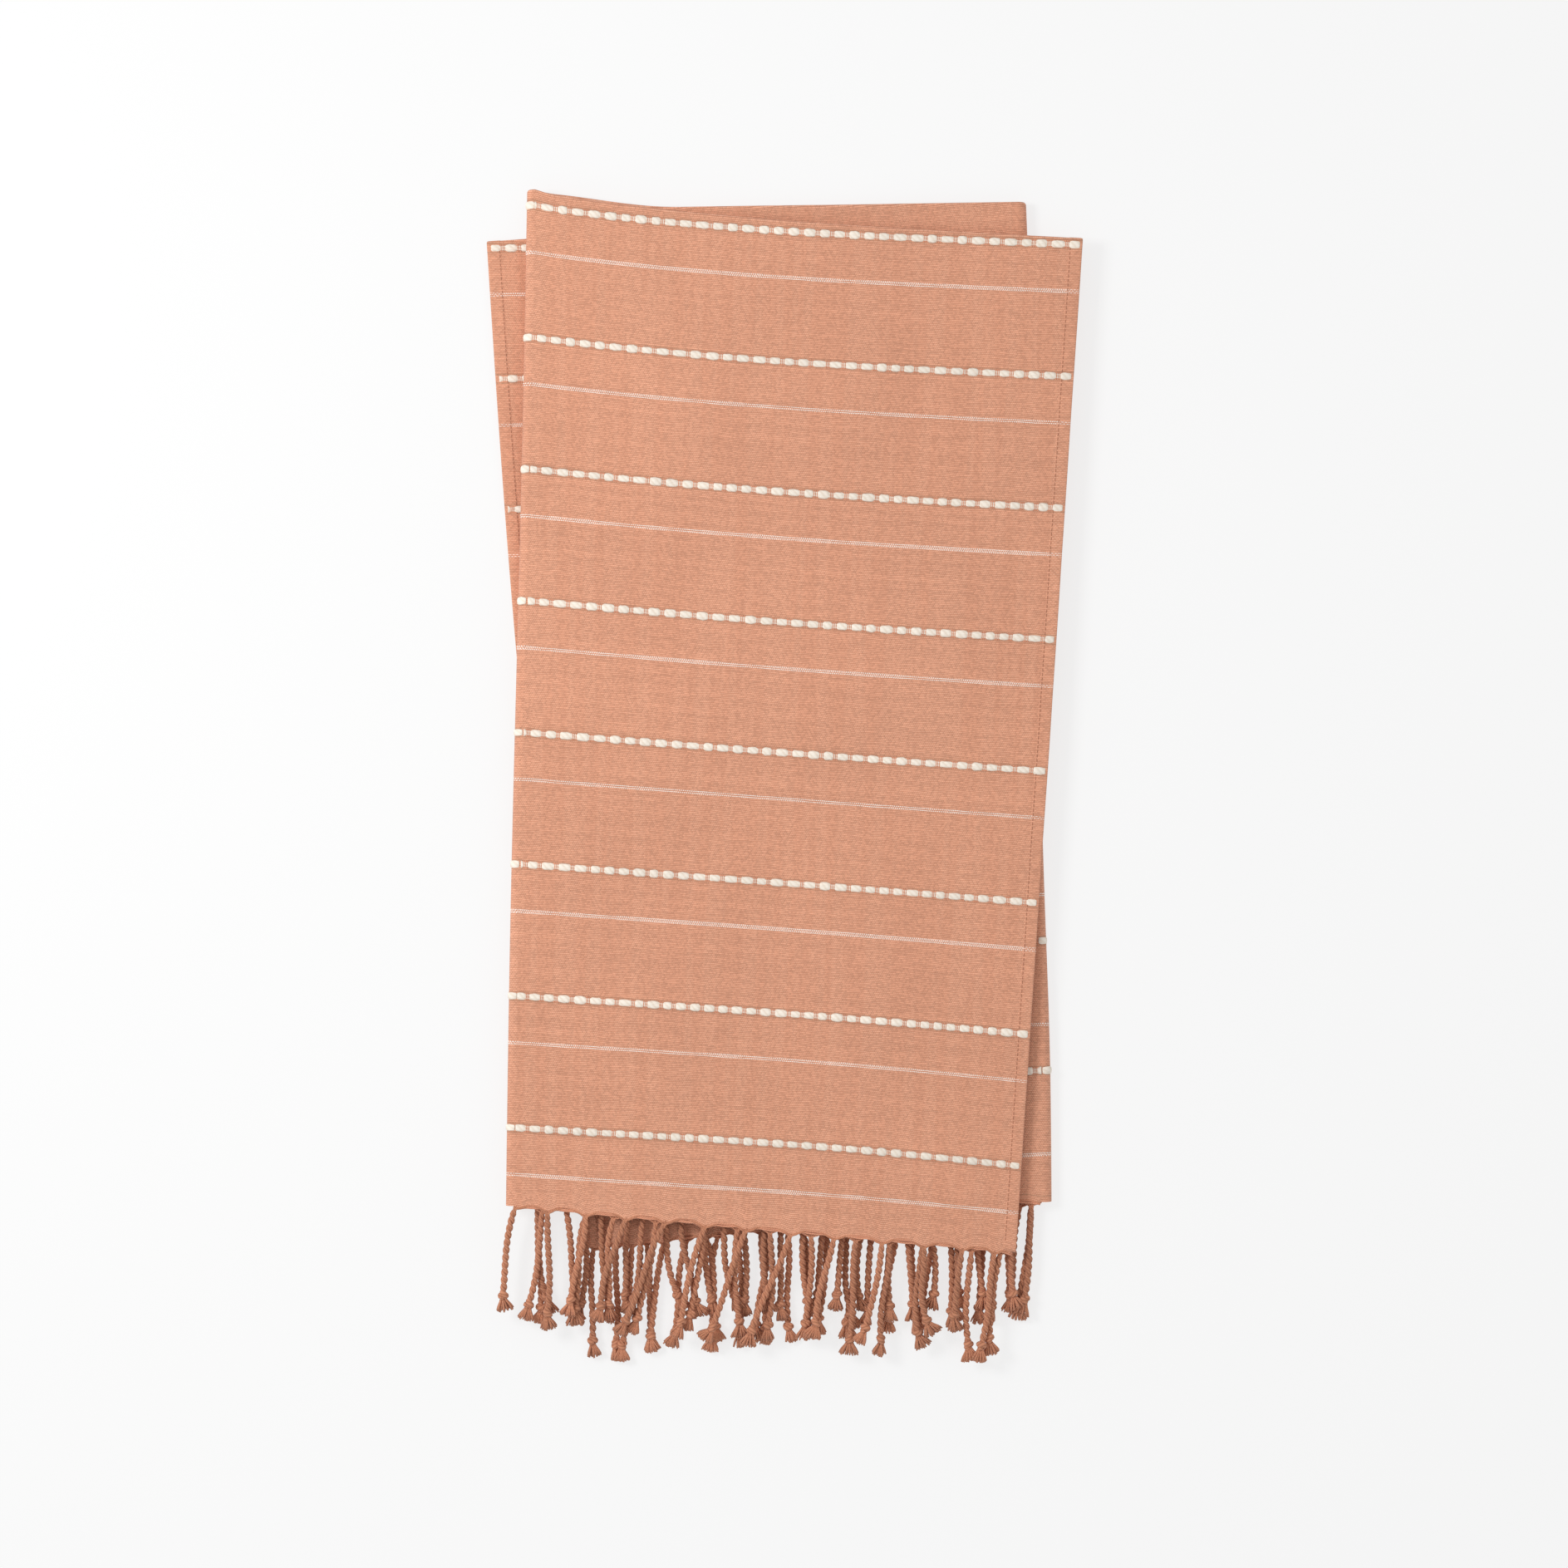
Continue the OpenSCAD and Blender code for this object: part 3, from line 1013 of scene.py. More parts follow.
@dataclass(frozen=True)
class YarnFinish:
    """Cotton yarn or cord, with painted shade in the creases between its twisted strands."""

    name: str
    colour: Colour
    # painted shade: the colour that the creases between the strands are darkened towards
    crease: Colour
    strands: float
    lay: float
    fibre_scale: float = 1.0
    relief: float = 0.35 * MM
    spread: float = 0.22
    roughness: float = 0.92
    sheen: float = 0.12

    def material(self, effects: Effects) -> bpy.types.Material:
        """Build the material from the shared node groups."""
        material, g, shader = new_material(self.name, self.roughness, self.sheen)
        place = g.add("ShaderNodeTexCoord").outputs["Object"]
        yarn = effects.use(
            g,
            effects.yarn,
            g.attribute("yarn").outputs["Vector"],
            Strands=self.strands,
            Lay=self.lay,
            Fibre_Scale=self.fibre_scale,
        )
        worn = effects.use(g, effects.handling, place, Patch_Scale=26.0)
        # painted shade: the creases between the twisted strands are darkened towards the crease
        # colour
        colour = g.blend(g.math("MULTIPLY", yarn["Crease"], 0.6), self.colour, self.crease)
        shade = g.attribute("tone").outputs["Fac"]
        tone = g.math("MULTIPLY_ADD", shade, self.spread, 1 - self.spread / 2)
        tone = g.math("MULTIPLY", tone, g.math("MULTIPLY_ADD", yarn["Fibre"], 0.36, 0.82))
        tone = g.math("MULTIPLY", tone, g.math("MULTIPLY_ADD", worn["Patch"], 0.08, 0.96))
        roughness = g.math("MULTIPLY_ADD", yarn["Fibre"], 0.08, self.roughness - 0.04)
        dress(g, shader, g.brighten(colour, tone), roughness, (yarn["Height"], 0.5, self.relief))
        return material


class Finishes:
    """Every material of the throw."""

    def __init__(self, stripe_pitch: float) -> None:
        """Build the materials.

        Args:
            stripe_pitch: Distance from one thick stripe to the next.
        """
        effects = Effects()
        self.cloth = ClothFinish("terracotta_cloth").material(effects, stripe_pitch)
        self.hem = ClothFinish("terracotta_hem", contrast=0.8).material(effects, stripe_pitch)
        self.ivory = YarnFinish(
            "ivory_slub", (0.88, 0.80, 0.70), (0.74, 0.62, 0.50),
            strands=3.0, lay=16 * MM, fibre_scale=1.4, relief=0.25 * MM, spread=0.08,
        ).material(effects)
        self.pick = YarnFinish(
            "ivory_pick", (0.95, 0.89, 0.83), (0.86, 0.72, 0.62),
            strands=2.0, lay=3 * MM, relief=0.1 * MM, spread=0.1,
        ).material(effects)
        self.cord = YarnFinish(
            "terracotta_cord", (0.55, 0.237, 0.136), (0.22, 0.078, 0.036),
            strands=4.0, lay=11 * MM,
        ).material(effects)
        self.warp = YarnFinish(
            "terracotta_yarn", (0.72, 0.335, 0.205), (0.44, 0.175, 0.10),
            strands=2.0, lay=4 * MM, relief=0.12 * MM,
        ).material(effects)
        self.thread = YarnFinish(
            "sewing_thread", (0.5, 0.22, 0.13), (0.34, 0.13, 0.075),
            strands=3.0, lay=1.5 * MM, relief=0.05 * MM, spread=0.1,
        ).material(effects)


# ---------------------------------------------------------------------------------------------
# The pieces
# ---------------------------------------------------------------------------------------------
@dataclass(frozen=True)
class Seat:
    """What a piece moves with: one body, or two bodies and the ends of a bend between them."""

    body: str
    bends_to: str = ""
    start: Vector = Vector()
    end: Vector = Vector()

    def hold(self, piece: bpy.types.Object) -> None:
        """Put a piece on its body; a piece given two bodies only has its transform baked in."""
        if self.bends_to:
            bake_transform(piece)
        else:
            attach(piece, self.body)


BODY = {
    Section.FRONT: "front_third",
    Section.LEFT_FOLD: "middle_third",
    Section.MIDDLE: "middle_third",
    Section.RIGHT_FOLD: "back_third",
    Section.BACK: "back_third",
}


def place_piece(
    piece: bpy.types.Object, seat: Seat, replaces: Sequence[str] = ()
) -> bpy.types.Object:
    """Hold a piece and report it.

    Args:
        piece: The finished piece.
        seat: What it moves with.
        replaces: The CAD nodes that it stands for.

    Returns:
        The piece.
    """
    seat.hold(piece)
    if replaces:
        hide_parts(*replaces)
    LOG.info("%s: %d faces on %s", piece.name, len(piece.data.polygons), seat.body)
    return piece


@dataclass
class ClothPart:
    """A stretch of the ground cloth: both plies of a third, or one ply of a fold."""

    stack: Stack
    section: Section
    material: bpy.types.Material
    column: float = 4.0 * MM
    sharp_angle: float = math.radians(50)

    def build(self, name: str, runs: Sequence[float]) -> bpy.types.Object:
        """Lay a grid on the weave and give it its thickness.

        Args:
            name: The piece's name.
            runs: Run of each row of the grid.

        Returns:
            The piece.
        """
        shares = steps(0, 1, min(self.column / self.stack.widths[self.section], 0.1))
        mesh = bmesh.new()
        weave = mesh.verts.layers.float_vector.new("weave")
        number = mesh.verts.layers.int.new("number")
        grid = bmesh.ops.create_grid(
            mesh, x_segments=len(shares) - 1, y_segments=len(runs) - 1, size=1.0
        )["verts"]
        for n, vert in enumerate(grid):
            vert[number] = n
        outer = bmesh.ops.extrude_face_region(mesh, geom=mesh.faces, use_keep_orig=True)["geom"]
        outer = {item for item in outer if isinstance(item, bmesh.types.BMVert)}
        for vert in mesh.verts:
            n = vert[number]
            across, run = shares[n % len(shares)], runs[n // len(shares)]
            vert.co = self.stack.skin(self.section, across, run, 1 if vert in outer else -1)
            vert[weave] = self.stack.weave_spot(self.section, across, run)
        bmesh.ops.recalc_face_normals(mesh, faces=mesh.faces)
        mesh.verts.layers.int.remove(number)
        piece = add_object(mesh, name, self.material)
        piece.data.set_sharp_from_angle(angle=self.sharp_angle)
        return piece

    def third(self, name: str, node: str) -> bpy.types.Object:
        """Both plies of a third, joined by the far fold.

        Args:
            name: The piece's name.
            node: The CAD node that it stands for.

        Returns:
            The piece.
        """
        runs = self.stack.runs()
        piece = self.build(name, [*runs, *(-run for run in reversed(runs[:-1]))])
        return place_piece(piece, Seat(BODY[self.section]), (node,))

    def fold(self, name: str, ply: int, node: str = "") -> bpy.types.Object:
        """One ply of a side fold.

        Args:
            name: The piece's name.
            ply: 1 or -1.
            node: The CAD node that it stands for, if it stands for one.

        Returns:
            The piece.
        """
        piece = self.build(name, [ply * run for run in self.stack.runs()])
        seat = fold_seat(self.stack, self.section, ply)
        return place_piece(piece, seat, (node,) if node else ())


def fold_seat(stack: Stack, section: Section, ply: int) -> Seat:
    """The bend of one ply round a side fold, from one third to the other.

    The left fold is told from its upper third and the right one from its lower third, because a
    bend of exactly half a turn goes one way only, and the strip has to close on its own side.

    Args:
        stack: The cloth.
        section: The fold.
        ply: 1 or -1.

    Returns:
        The seat.
    """
    left = section is Section.LEFT_FOLD
    outer = (ply > 0) == left
    reach = 0.76 * (stack.turn_radius + (stack.bend if outer else -stack.bend))
    axis = stack.lines[1 if left else 2].at(0.5)
    axis.z = stack.axis_z[section]
    if left:
        return Seat("front_third", "middle_third", axis + UP * reach, axis - UP * reach)
    return Seat("back_third", "middle_third", axis - UP * reach, axis + UP * reach)


@dataclass
class Hem:
    """A side edge of the cloth, turned over and stitched, on both plies and round the far fold."""

    stack: Stack
    section: Section
    half_thick: float = 1.2 * MM
    overhang: float = 0.4 * MM
    sides: int = 16
    square: float = 0.45
    stitch_in: float = 1.6 * MM
    stitch_pitch: float = 3.6 * MM
    stitch_length: float = 2.3 * MM
    stitch_radius: float = 0.32 * MM
    stitch_heights: tuple[float, ...] = (-0.15 * MM, 0.12 * MM, -0.15 * MM)
    stitched_from: float = 8.0 * MM
    stitched_to: float = 6.0 * MM

    def _across(self, distance: float) -> float:
        """Share of the way across at a distance from the hem's outer edge."""
        share = distance / self.stack.widths[self.section]
        return share if self.section is Section.FRONT else 1 - share

    def build(self, name: str, node: str, material: bpy.types.Material) -> bpy.types.Object:
        """The hem as one flat tube.

        Args:
            name: The piece's name.
            node: The CAD node that it stands for.
            material: The cloth's finish.

        Returns:
            The piece.
        """
        runs = self.stack.runs()
        runs = [*runs, *(-run for run in reversed(runs[:-1]))]
        shares = self._across(-self.overhang), self._across(self.stack.HEM)
        rings = []
        for run in runs:
            a, b = (self.stack.skin(self.section, share, run, 0) for share in shares)
            middle = (a + b) / 2
            rise = self.stack.skin(self.section, sum(shares) / 2, run, 1) - middle
            rings.append(Ring(middle, (b - a) / 2, rise.normalized() * self.half_thick, run))
        yarn = YarnMesh()
        verts = yarn.tube(pinched(rings), self.sides, square=self.square)
        spots = [runs[0], *runs, runs[-1]]
        for n, vert in enumerate(verts):
            run = spots[n // (self.sides + 1)]
            turn = 2 * math.pi * (n % (self.sides + 1)) / self.sides
            share = mix(*shares, 0.5 + 0.5 * math.cos(turn))
            vert[yarn.weave] = self.stack.weave_spot(self.section, share, run)
        piece = yarn.finish(name, material)
        return place_piece(piece, Seat(BODY[self.section]), (node,))

    def stitches(self, name: str, material: bpy.types.Material) -> bpy.types.Object:
        """A row of stitches near the hem's inner edge, on both faces of the folded cloth.

        Args:
            name: The piece's name.
            material: The thread.

        Returns:
            The piece.
        """
        yarn = YarnMesh()
        across = self._across(self.stack.HEM - self.stitch_in)
        rise = 2 * self.half_thick / self.stack.PLY
        first, last = self.stitched_from, self.stack.full_run - self.stitched_to
        for ply in (1, -1):
            for start in steps(first, last, self.stitch_pitch)[:-1]:
                ends = [
                    self.stack.skin(self.section, across, ply * (start + part), rise)
                    for part in (0, self.stitch_length / 2, self.stitch_length)
                ]
                dip = (ends[1] - self.stack.skin(self.section, across, ply * start, 0)).normalized()
                points = [
                    end + dip * height for end, height in zip(ends, self.stitch_heights)
                ]
                yarn.tube(pinched(along(points, [self.stitch_radius] * 3)), 3)
        piece = yarn.finish(name, material)
        return place_piece(piece, Seat(BODY[self.section]))


@dataclass
class Stripes:
    """Ivory yarns laid in along the weft."""

    stack: Stack
    slub: SlubYarn = FRONT_YARN
    pick_gap: float = 1.7 * MM
    pick_radius: float = 0.62 * MM
    pick_wave: float = 0.4 * MM
    pick_sink: float = 0.5 * MM
    pick_period: float = 1.68 * MM
    tie_radius: float = 0.36 * MM
    tie_pitch: float = 1.25 * MM
    tie_reach: float = 3.5 * MM
    end_margin: float = 1.6 * MM
    turned_under: float = 0.78
    ties_at_waist: tuple[int, ...] = (-1, 0, 1)
    tie_profile: tuple[tuple[float, float], ...] = (
        (-1.0, -0.25), (-0.62, 0.25), (0.0, 1.15), (0.62, 0.25), (1.0, -0.25)
    )
    profile: tuple[tuple[float, float], ...] = (
        (0.0, 0.0), (0.07, 0.55), (0.2, 0.86), (0.38, 1.0),
        (0.62, 1.0), (0.8, 0.86), (0.93, 0.55), (1.0, 0.0),
    )

    def _span(self, section: Section) -> tuple[float, float]:
        """Where a row starts and ends, in metres from the section's first side."""
        width = self.stack.widths[section]
        start = self.end_margin if section is Section.FRONT else 0.0
        if section is Section.BACK:
            return start, width - self.end_margin
        return start, width * (self.turned_under if section is Section.RIGHT_FOLD else 1.0)

    def beads(
        self, yarn: YarnMesh, ties: YarnMesh, path: RowPath, section: Section, seed: int
    ) -> None:
        """Add one thick row and the warp threads that tie it down.

        Args:
            yarn: The ivory mesh.
            ties: The mesh of the ties.
            path: The row's line.
            section: The part of the cloth.
            seed: Start of the row's random draws.
        """
        draw = random.Random(seed)
        start, end = self._span(section)
        rings, place, s = [], start, self.slub
        while place < end:
            long, gap = draw.uniform(*s.bead_length), draw.uniform(*s.waist_length)
            fat = draw.uniform(0.82, 1.06)
            for share, swell in self.profile:
                at = place + share * long
                if at <= end:
                    wide = mix(s.waist_wide, s.bead_wide * fat, swell) * draw.uniform(0.93, 1.05)
                    high = mix(s.waist_high, s.bead_high * fat, swell)
                    rings.append(self._bead_ring(path, at, wide, high))
            middle = place + long + gap / 2
            if middle + self.tie_pitch < end:
                waist = s.waist_wide * s.waist_pull[0], s.waist_high * s.waist_pull[1]
                rings.append(self._bead_ring(path, middle, *waist))
                for k in self.ties_at_waist:
                    at = middle + k * self.tie_pitch * draw.uniform(0.85, 1.1)
                    self._tie(ties, path, at, draw.uniform(0.1, 0.9))
            place += long + gap
        yarn.tube(pinched(rings), 8, tone=draw.random(), square=0.85)

    @staticmethod
    def _bead_ring(path: RowPath, at: float, wide: float, high: float) -> Ring:
        """A cross-section of the thick yarn."""
        point, down, normal = path.at(at)
        return Ring(point, down * wide, normal * high, at)

    def _tie(self, ties: YarnMesh, path: RowPath, at: float, tone: float) -> None:
        """One warp thread over the yarn's waist."""
        point, down, normal = path.at(at)
        high = self.slub.waist_high
        weft = down.cross(normal)
        rings = [
            Ring(
                point + down * (self.tie_reach * x) + normal * (high * z),
                weft * self.tie_radius,
                normal * self.tie_radius,
                x * self.tie_reach,
            )
            for x, z in self.tie_profile
        ]
        ties.tube(rings, 4, tone=tone)

    def picks(self, yarn: YarnMesh, path: RowPath, section: Section) -> None:
        """Add one thin stripe: two picks that rise and dip between the warp threads.

        Args:
            yarn: The ivory mesh.
            path: The stripe's line.
            section: The part of the cloth.
        """
        start, end = self._span(section)
        quarter = self.pick_period / 4
        for side in (-1, 1):
            rings = []
            for n in range(int((end - start) / quarter) + 1):
                at = start + n * quarter
                point, down, normal = path.at(at)
                wave = (1, 0, -1, 0)[(n + 1 + side) % 4]
                stray = 0.12 * MM * noise.noise(Vector((at * 90, side, 2.0)))
                middle = point + down * (side * self.pick_gap / 2 + stray)
                middle += normal * (self.pick_wave * wave - self.pick_sink)
                rings.append(Ring(middle, down * self.pick_radius, normal * self.pick_radius, at))
            yarn.tube(pinched(rings), 4, tone=0.5)

    def build(
        self,
        section: Section,
        ply: int,
        names: dict[str, str],
        nodes: dict[str, str],
        finishes: Finishes,
    ) -> list[str]:
        """Build the thick rows, thin rows and ties of one ply of a section.

        Args:
            section: The part of the cloth.
            ply: 1 or -1.
            names: Names for "thick", "thin" and "ties"; "{}" makes a piece of each row.
            nodes: CAD nodes for "thick" and "thin", "{}" again for the row's number.
            finishes: The materials.

        Returns:
            The names of the pieces.
        """
        if section in Stack.THIRDS:
            seat = Seat(BODY[section])
        else:
            seat = fold_seat(self.stack, section, ply)
        ties, built = YarnMesh(), []
        for kind, offset, material in (
            ("thick", 0.0, finishes.ivory),
            ("thin", THIN_OFFSET, finishes.pick),
        ):
            if kind not in names:
                continue
            apart = "{}" in names[kind]
            yarn = YarnMesh()
            for n, run_at in enumerate(self.stack.rows(section, ply, offset), 1):
                path = RowPath(self.stack, section, run_at)
                if kind == "thick":
                    self.beads(yarn, ties, path, section, 100 * section.value + 10 * ply + n)
                else:
                    self.picks(yarn, path, section)
                if apart:
                    piece = yarn.finish(names[kind].format(n), material)
                    built.append(place_piece(piece, seat, (nodes[kind].format(n),)))
                    yarn = YarnMesh()
            if not apart:
                piece = yarn.finish(names[kind], material)
                nodes_of = (nodes[kind],) if kind in nodes else ()
                built.append(place_piece(piece, seat, nodes_of))
        built.append(place_piece(ties.finish(names["ties"], finishes.warp), seat))
        return [piece.name for piece in built]


@dataclass
class Fringe:
    """Twisted cords along one ply of a third, each with a knot and a brush of cut ends."""

    stack: Stack
    section: Section
    upper: bool
    knot_z: float
    hangs: Sequence[CordHang]
    seed: int
    ply_radius: float = 1.62 * MM
    ply_offset: float = 1.28 * MM
    turn_length: float = 11.8 * MM
    knot_radius: float = 2.2 * MM
    knot_yarn: float = 2.35 * MM
    knot_reach: float = 2.3 * MM
    knot_turns: float = 1.35
    knot_steps: int = 19
    cord_steps: int = 49
    bow: float = 3.2 * MM
    wag: float = 1.3 * MM
    thin_root: float = 0.5
    root_taper: float = 10.0 * MM
    tuft_length: float = 10.6 * MM
    tuft_spread: float = 6.9 * MM
    tuft_opening: tuple[tuple[float, float], ...] = (
        (0.0, 0.26), (0.3, 0.45), (0.68, 0.78), (1.0, 1.0)
    )
    strand_radii: tuple[float, ...] = (0.7 * MM, 0.75 * MM, 0.7 * MM, 0.55 * MM)
    strands: int = 46
    gathers_each_side: int = 6
    gather_reach: float = 13.5 * MM
    gather_radii: tuple[float, ...] = (0.5 * MM, 0.72 * MM, 0.8 * MM, 0.8 * MM, 0.5 * MM)
    tail_step: float = 1.6 * MM
    tuft_start: float = 2.4 * MM
    end_picks: int = 3
    end_pick_step: float = 3.2 * MM
    end_pick_drop: float = 0.4 * MM
    end_pick_gap: float = 1.25 * MM
    end_pick_stray: float = 0.7 * MM
    end_pick_radius: float = 0.66 * MM
    least_height: float = 0.9 * MM
    root_gap: float = 1.8 * MM
    floor_gap: float = 3.15 * MM

    def __post_init__(self) -> None:
        """Start the random draws and find the ply."""
        self.draw = random.Random(self.seed)
        self.ply = 1 if self.upper != (self.section is Section.MIDDLE) else -1
        self.roots = self.stack.roots[self.section, self.upper]

    def edge(self, left: float, back: float, side: float = 0.0) -> Vector:
        """A point near the fringed edge.

        Args:
            left: Share of the way across the third from its left.
            back: Metres from the edge into the cloth.
            side: 1 on the ply's outer face, -1 on its inner one.

        Returns:
            The point.
        """
        across = self.stack.from_left(self.section, min(max(left, 0.004), 0.996))
        return self.stack.skin(self.section, across, self.ply * (self.stack.full_run - back), side)

    def cord_path(self, index: int) -> list[Vector]:
        """The line of one cord, from the cloth to its knot.

        Args:
            index: Number of the cord from the left, from 0.

        Returns:
            Its points, evenly spaced.
        """
        hang = self.hangs[index]
        root = self.edge(self.roots[index], 1.0 * MM)
        root.z = max(root.z, self.root_gap)
        swing = math.radians(hang.swing)
        way = Vector((math.sin(swing), -math.cos(swing), 0))
        side = Vector((way.y, -way.x, 0))
        bow, wag = self.draw.uniform(-1, 1) * self.bow, self.draw.uniform(-1, 1) * self.wag
        points = []
        for i in range(self.cord_steps):
            t = i / (self.cord_steps - 1)
            point = root + way * (t * hang.length)
            point += side * (bow * math.sin(math.pi * t) + wag * math.sin(2 * math.pi * t))
            lowest = mix(self.root_gap, self.floor_gap, ease(t / 0.1))
            point.z = max(mix(root.z, self.knot_z, ease(t * 1.15)), lowest)
            points.append(point)
        return points

    def add_cord(self, yarn: YarnMesh, index: int) -> None:
        """Add one tassel.

        Args:
            yarn: The mesh.
            index: Number of the cord from the left, from 0.
        """
        path = self.cord_path(index)
        tone, phase = self.draw.random(), self.draw.uniform(0, math.tau)
        tail = (path[-1] - path[-4]).normalized()
        path = [*path, path[-1] + tail * self.tail_step, path[-1] + tail * (2 * self.tail_step)]
        guide = along(path, [1.0] * len(path))
        for half in (0.0, math.pi):
            points, radii = [], []
            for ring in guide:
                grown = mix(self.thin_root, 1.0, ease(ring.run / self.root_taper))
                turn = phase + half + math.tau * ring.run / self.turn_length
                offset = ring.wide * math.cos(turn) + ring.high * math.sin(turn)
                points.append(ring.middle + offset * (self.ply_offset * grown))
                radii.append(self.ply_radius * grown)
            yarn.tube(pinched(along(points, radii)), 7, tone=tone)
        self.add_knot(yarn, path[-3], tail, tone)
        self.add_tuft(yarn, path[-3] + tail * self.tuft_start, tail, tone)
        self.add_gathers(yarn, index, path, tone)

    def add_knot(self, yarn: YarnMesh, centre: Vector, way: Vector, tone: float) -> None:
        """Add the overhand knot: a turn of the cord round itself.

        Args:
            yarn: The mesh.
            centre: Middle of the knot.
            way: Direction of the cord.
            tone: Shade of the yarn.
        """
        tilt = Vector((self.draw.uniform(-0.8, 0.8), 0, self.draw.uniform(-0.3, 0.3)))
        axis = (way + tilt).normalized()
        wide = axis.cross(UP).normalized()
        high = wide.cross(axis)
        phase, points, radii = self.draw.uniform(0, math.tau), [], []
        for i in range(self.knot_steps):
            t = i / (self.knot_steps - 1)
            turn = phase + math.tau * self.knot_turns * t
            bulge = 1 - 0.5 * (2 * t - 1) ** 2
            out = (wide * math.cos(turn) + high * math.sin(turn)) * (self.knot_radius * bulge)
            points.append(centre + axis * (self.knot_reach * (2 * t - 1)) + out)
            radii.append(self.knot_yarn * mix(0.6, 1.0, ease(min(t, 1 - t) / 0.12)))
        yarn.tube(pinched(along(points, radii)), 8, tone=tone + 0.25)

    def add_tuft(self, yarn: YarnMesh, start: Vector, way: Vector, tone: float) -> None:
        """Add the brush of cut ends.

        Args:
            yarn: The mesh.
            start: Where the ends leave the knot.
            way: Direction of the cord.
            tone: Shade of the yarn.
        """
        bend = self.draw.uniform(-0.35, 0.35)
        side = Vector((-way.y, way.x, 0)).normalized()
        way = (Vector((way.x, way.y, 0)) + side * bend).normalized()
        side = Vector((-way.y, way.x, 0))
        spread = self.tuft_spread * self.draw.uniform(0.75, 1.15)
        for _ in range(self.strands):
            x, z = self.draw.uniform(-1, 1), self.draw.uniform(-1, 1)
            long = self.tuft_length * self.draw.uniform(0.84, 1.1) * (1 - 0.12 * x * x)
            points = []
            for t, open_by in self.tuft_opening:
                point = start + way * (long * t) + side * (spread * x * open_by)
                point.z += z * mix(1.8, 2.8, t) * MM - 1.2 * MM * t * t
                point.z = max(point.z, self.least_height)
                points.append(point)
            # painted light and shade: strands that lie higher in the brush are painted lighter, and
            # lower ones darker
            yarn.tube(pinched(along(points, self.strand_radii)), 4, tone=tone + 0.45 + 0.3 * z)

    def add_gathers(self, yarn: YarnMesh, index: int, path: Sequence[Vector], tone: float) -> None:
        """Add the warp ends that sweep along the edge of the cloth into the cord.

        Args:
            yarn: The mesh.
            index: Number of the cord from the left, from 0.
            path: The cord's points.
            tone: Shade of the yarn.
        """
        width, root = self.stack.widths[self.section], self.roots[index]
        step = (path[1] - path[0]).length
        for k in range(-self.gathers_each_side, self.gathers_each_side + 1):
            reach = k / self.gathers_each_side * self.gather_reach
            offset = reach * self.draw.uniform(0.9, 1.1)
            low = self.draw.uniform(-0.5, 0.5) * MM
            join = path[min(int((5 + abs(k)) * MM / step), len(path) - 1)]
            start = self.edge(root + offset / width, 0.8 * MM, 0.1)
            lip = self.edge(root + 0.86 * offset / width, 0, 0.15)
            near = self.edge(root + 0.45 * offset / width, 0, 0.35)
            lip.y -= 0.6 * MM + low * 0.4
            near.y -= 1.1 * MM + 0.04 * abs(offset) + low
            throat = path[2].lerp(near, 0.22)
            throat.z += 0.9 * MM
            for point in (start, lip, near):
                point.z = max(point.z, self.least_height)
            finish = join + Vector((0.09 * offset, 0, 0.3 * MM))
            points = [start, lip, near, throat, finish]
            shade = mix(tone, 1.7, self.draw.uniform(0.3, 0.8))
            yarn.tube(pinched(along(points, self.gather_radii)), 5, tone=shade)

    def build(self, name: str, node: str, seat: Seat, finishes: Finishes) -> list[str]:
        """Build the tassels.

        Args:
            name: The piece's name; "{}" makes a piece of each tassel.
            node: The CAD node, "{}" again for the tassel's number.
            seat: What they move with.
            finishes: The materials.

        Returns:
            The names of the pieces.
        """
        yarn, built = YarnMesh(), []
        for index in range(len(self.roots)):
            self.add_cord(yarn, index)
            if "{}" in name:
                piece = yarn.finish(name.format(index + 1), finishes.cord)
                built.append(place_piece(piece, seat, (node.format(index + 1),)))
                yarn = YarnMesh()
        if "{}" not in name:
            piece = yarn.finish(name, finishes.cord)
            built.append(place_piece(piece, seat, (node,)))
        return [piece.name for piece in built]

    def last_picks(self, name: str, finishes: Finishes) -> str:
        """Build the loose last weft yarns, which bow along the edge between the cords.

        Args:
            name: The piece's name.
            finishes: The materials.

        Returns:
            The piece's name.
        """
        yarn = YarnMesh()
        for k in range(self.end_picks):
            points, width = [], self.stack.widths[self.section]
            drop = self.end_pick_drop + self.end_pick_gap * k
            for left in steps(0.006, 0.994, self.end_pick_step / width):
                across = self.stack.from_left(self.section, left)
                hang = self.stack.hang(self.section, across, self.ply)
                point = self.edge(left, 0, 0.4 - 0.35 * k)
                stray = noise.noise(Vector((left * 16, k * 5.0, self.seed)))
                point.y -= drop * (1 - 0.55 * hang) + self.end_pick_stray * stray
                point.z += 0.5 * MM * stray
                point.z = max(point.z, self.least_height)
                points.append(point)
            radii = [self.end_pick_radius] * len(points)
            yarn.tube(pinched(along(points, radii)), 5, tone=0.55 + 0.2 * k)
        piece = yarn.finish(name, finishes.warp)
        return place_piece(piece, Seat(BODY[self.section])).name


def loose_hangs(
    seed: int, lean: tuple[float, float], length: tuple[float, float]
) -> list[CordHang]:
    """Hangs of cords that lie as they fell.

    Args:
        seed: Start of the random draws.
        lean: Least and greatest swing in degrees.
        length: Least and greatest length in metres.

    Returns:
        One hang for each tassel.
    """
    draw = random.Random(seed)
    return [
        CordHang(0.0, draw.uniform(*lean), draw.uniform(*length)) for _ in range(Stack.TASSELS)
    ]


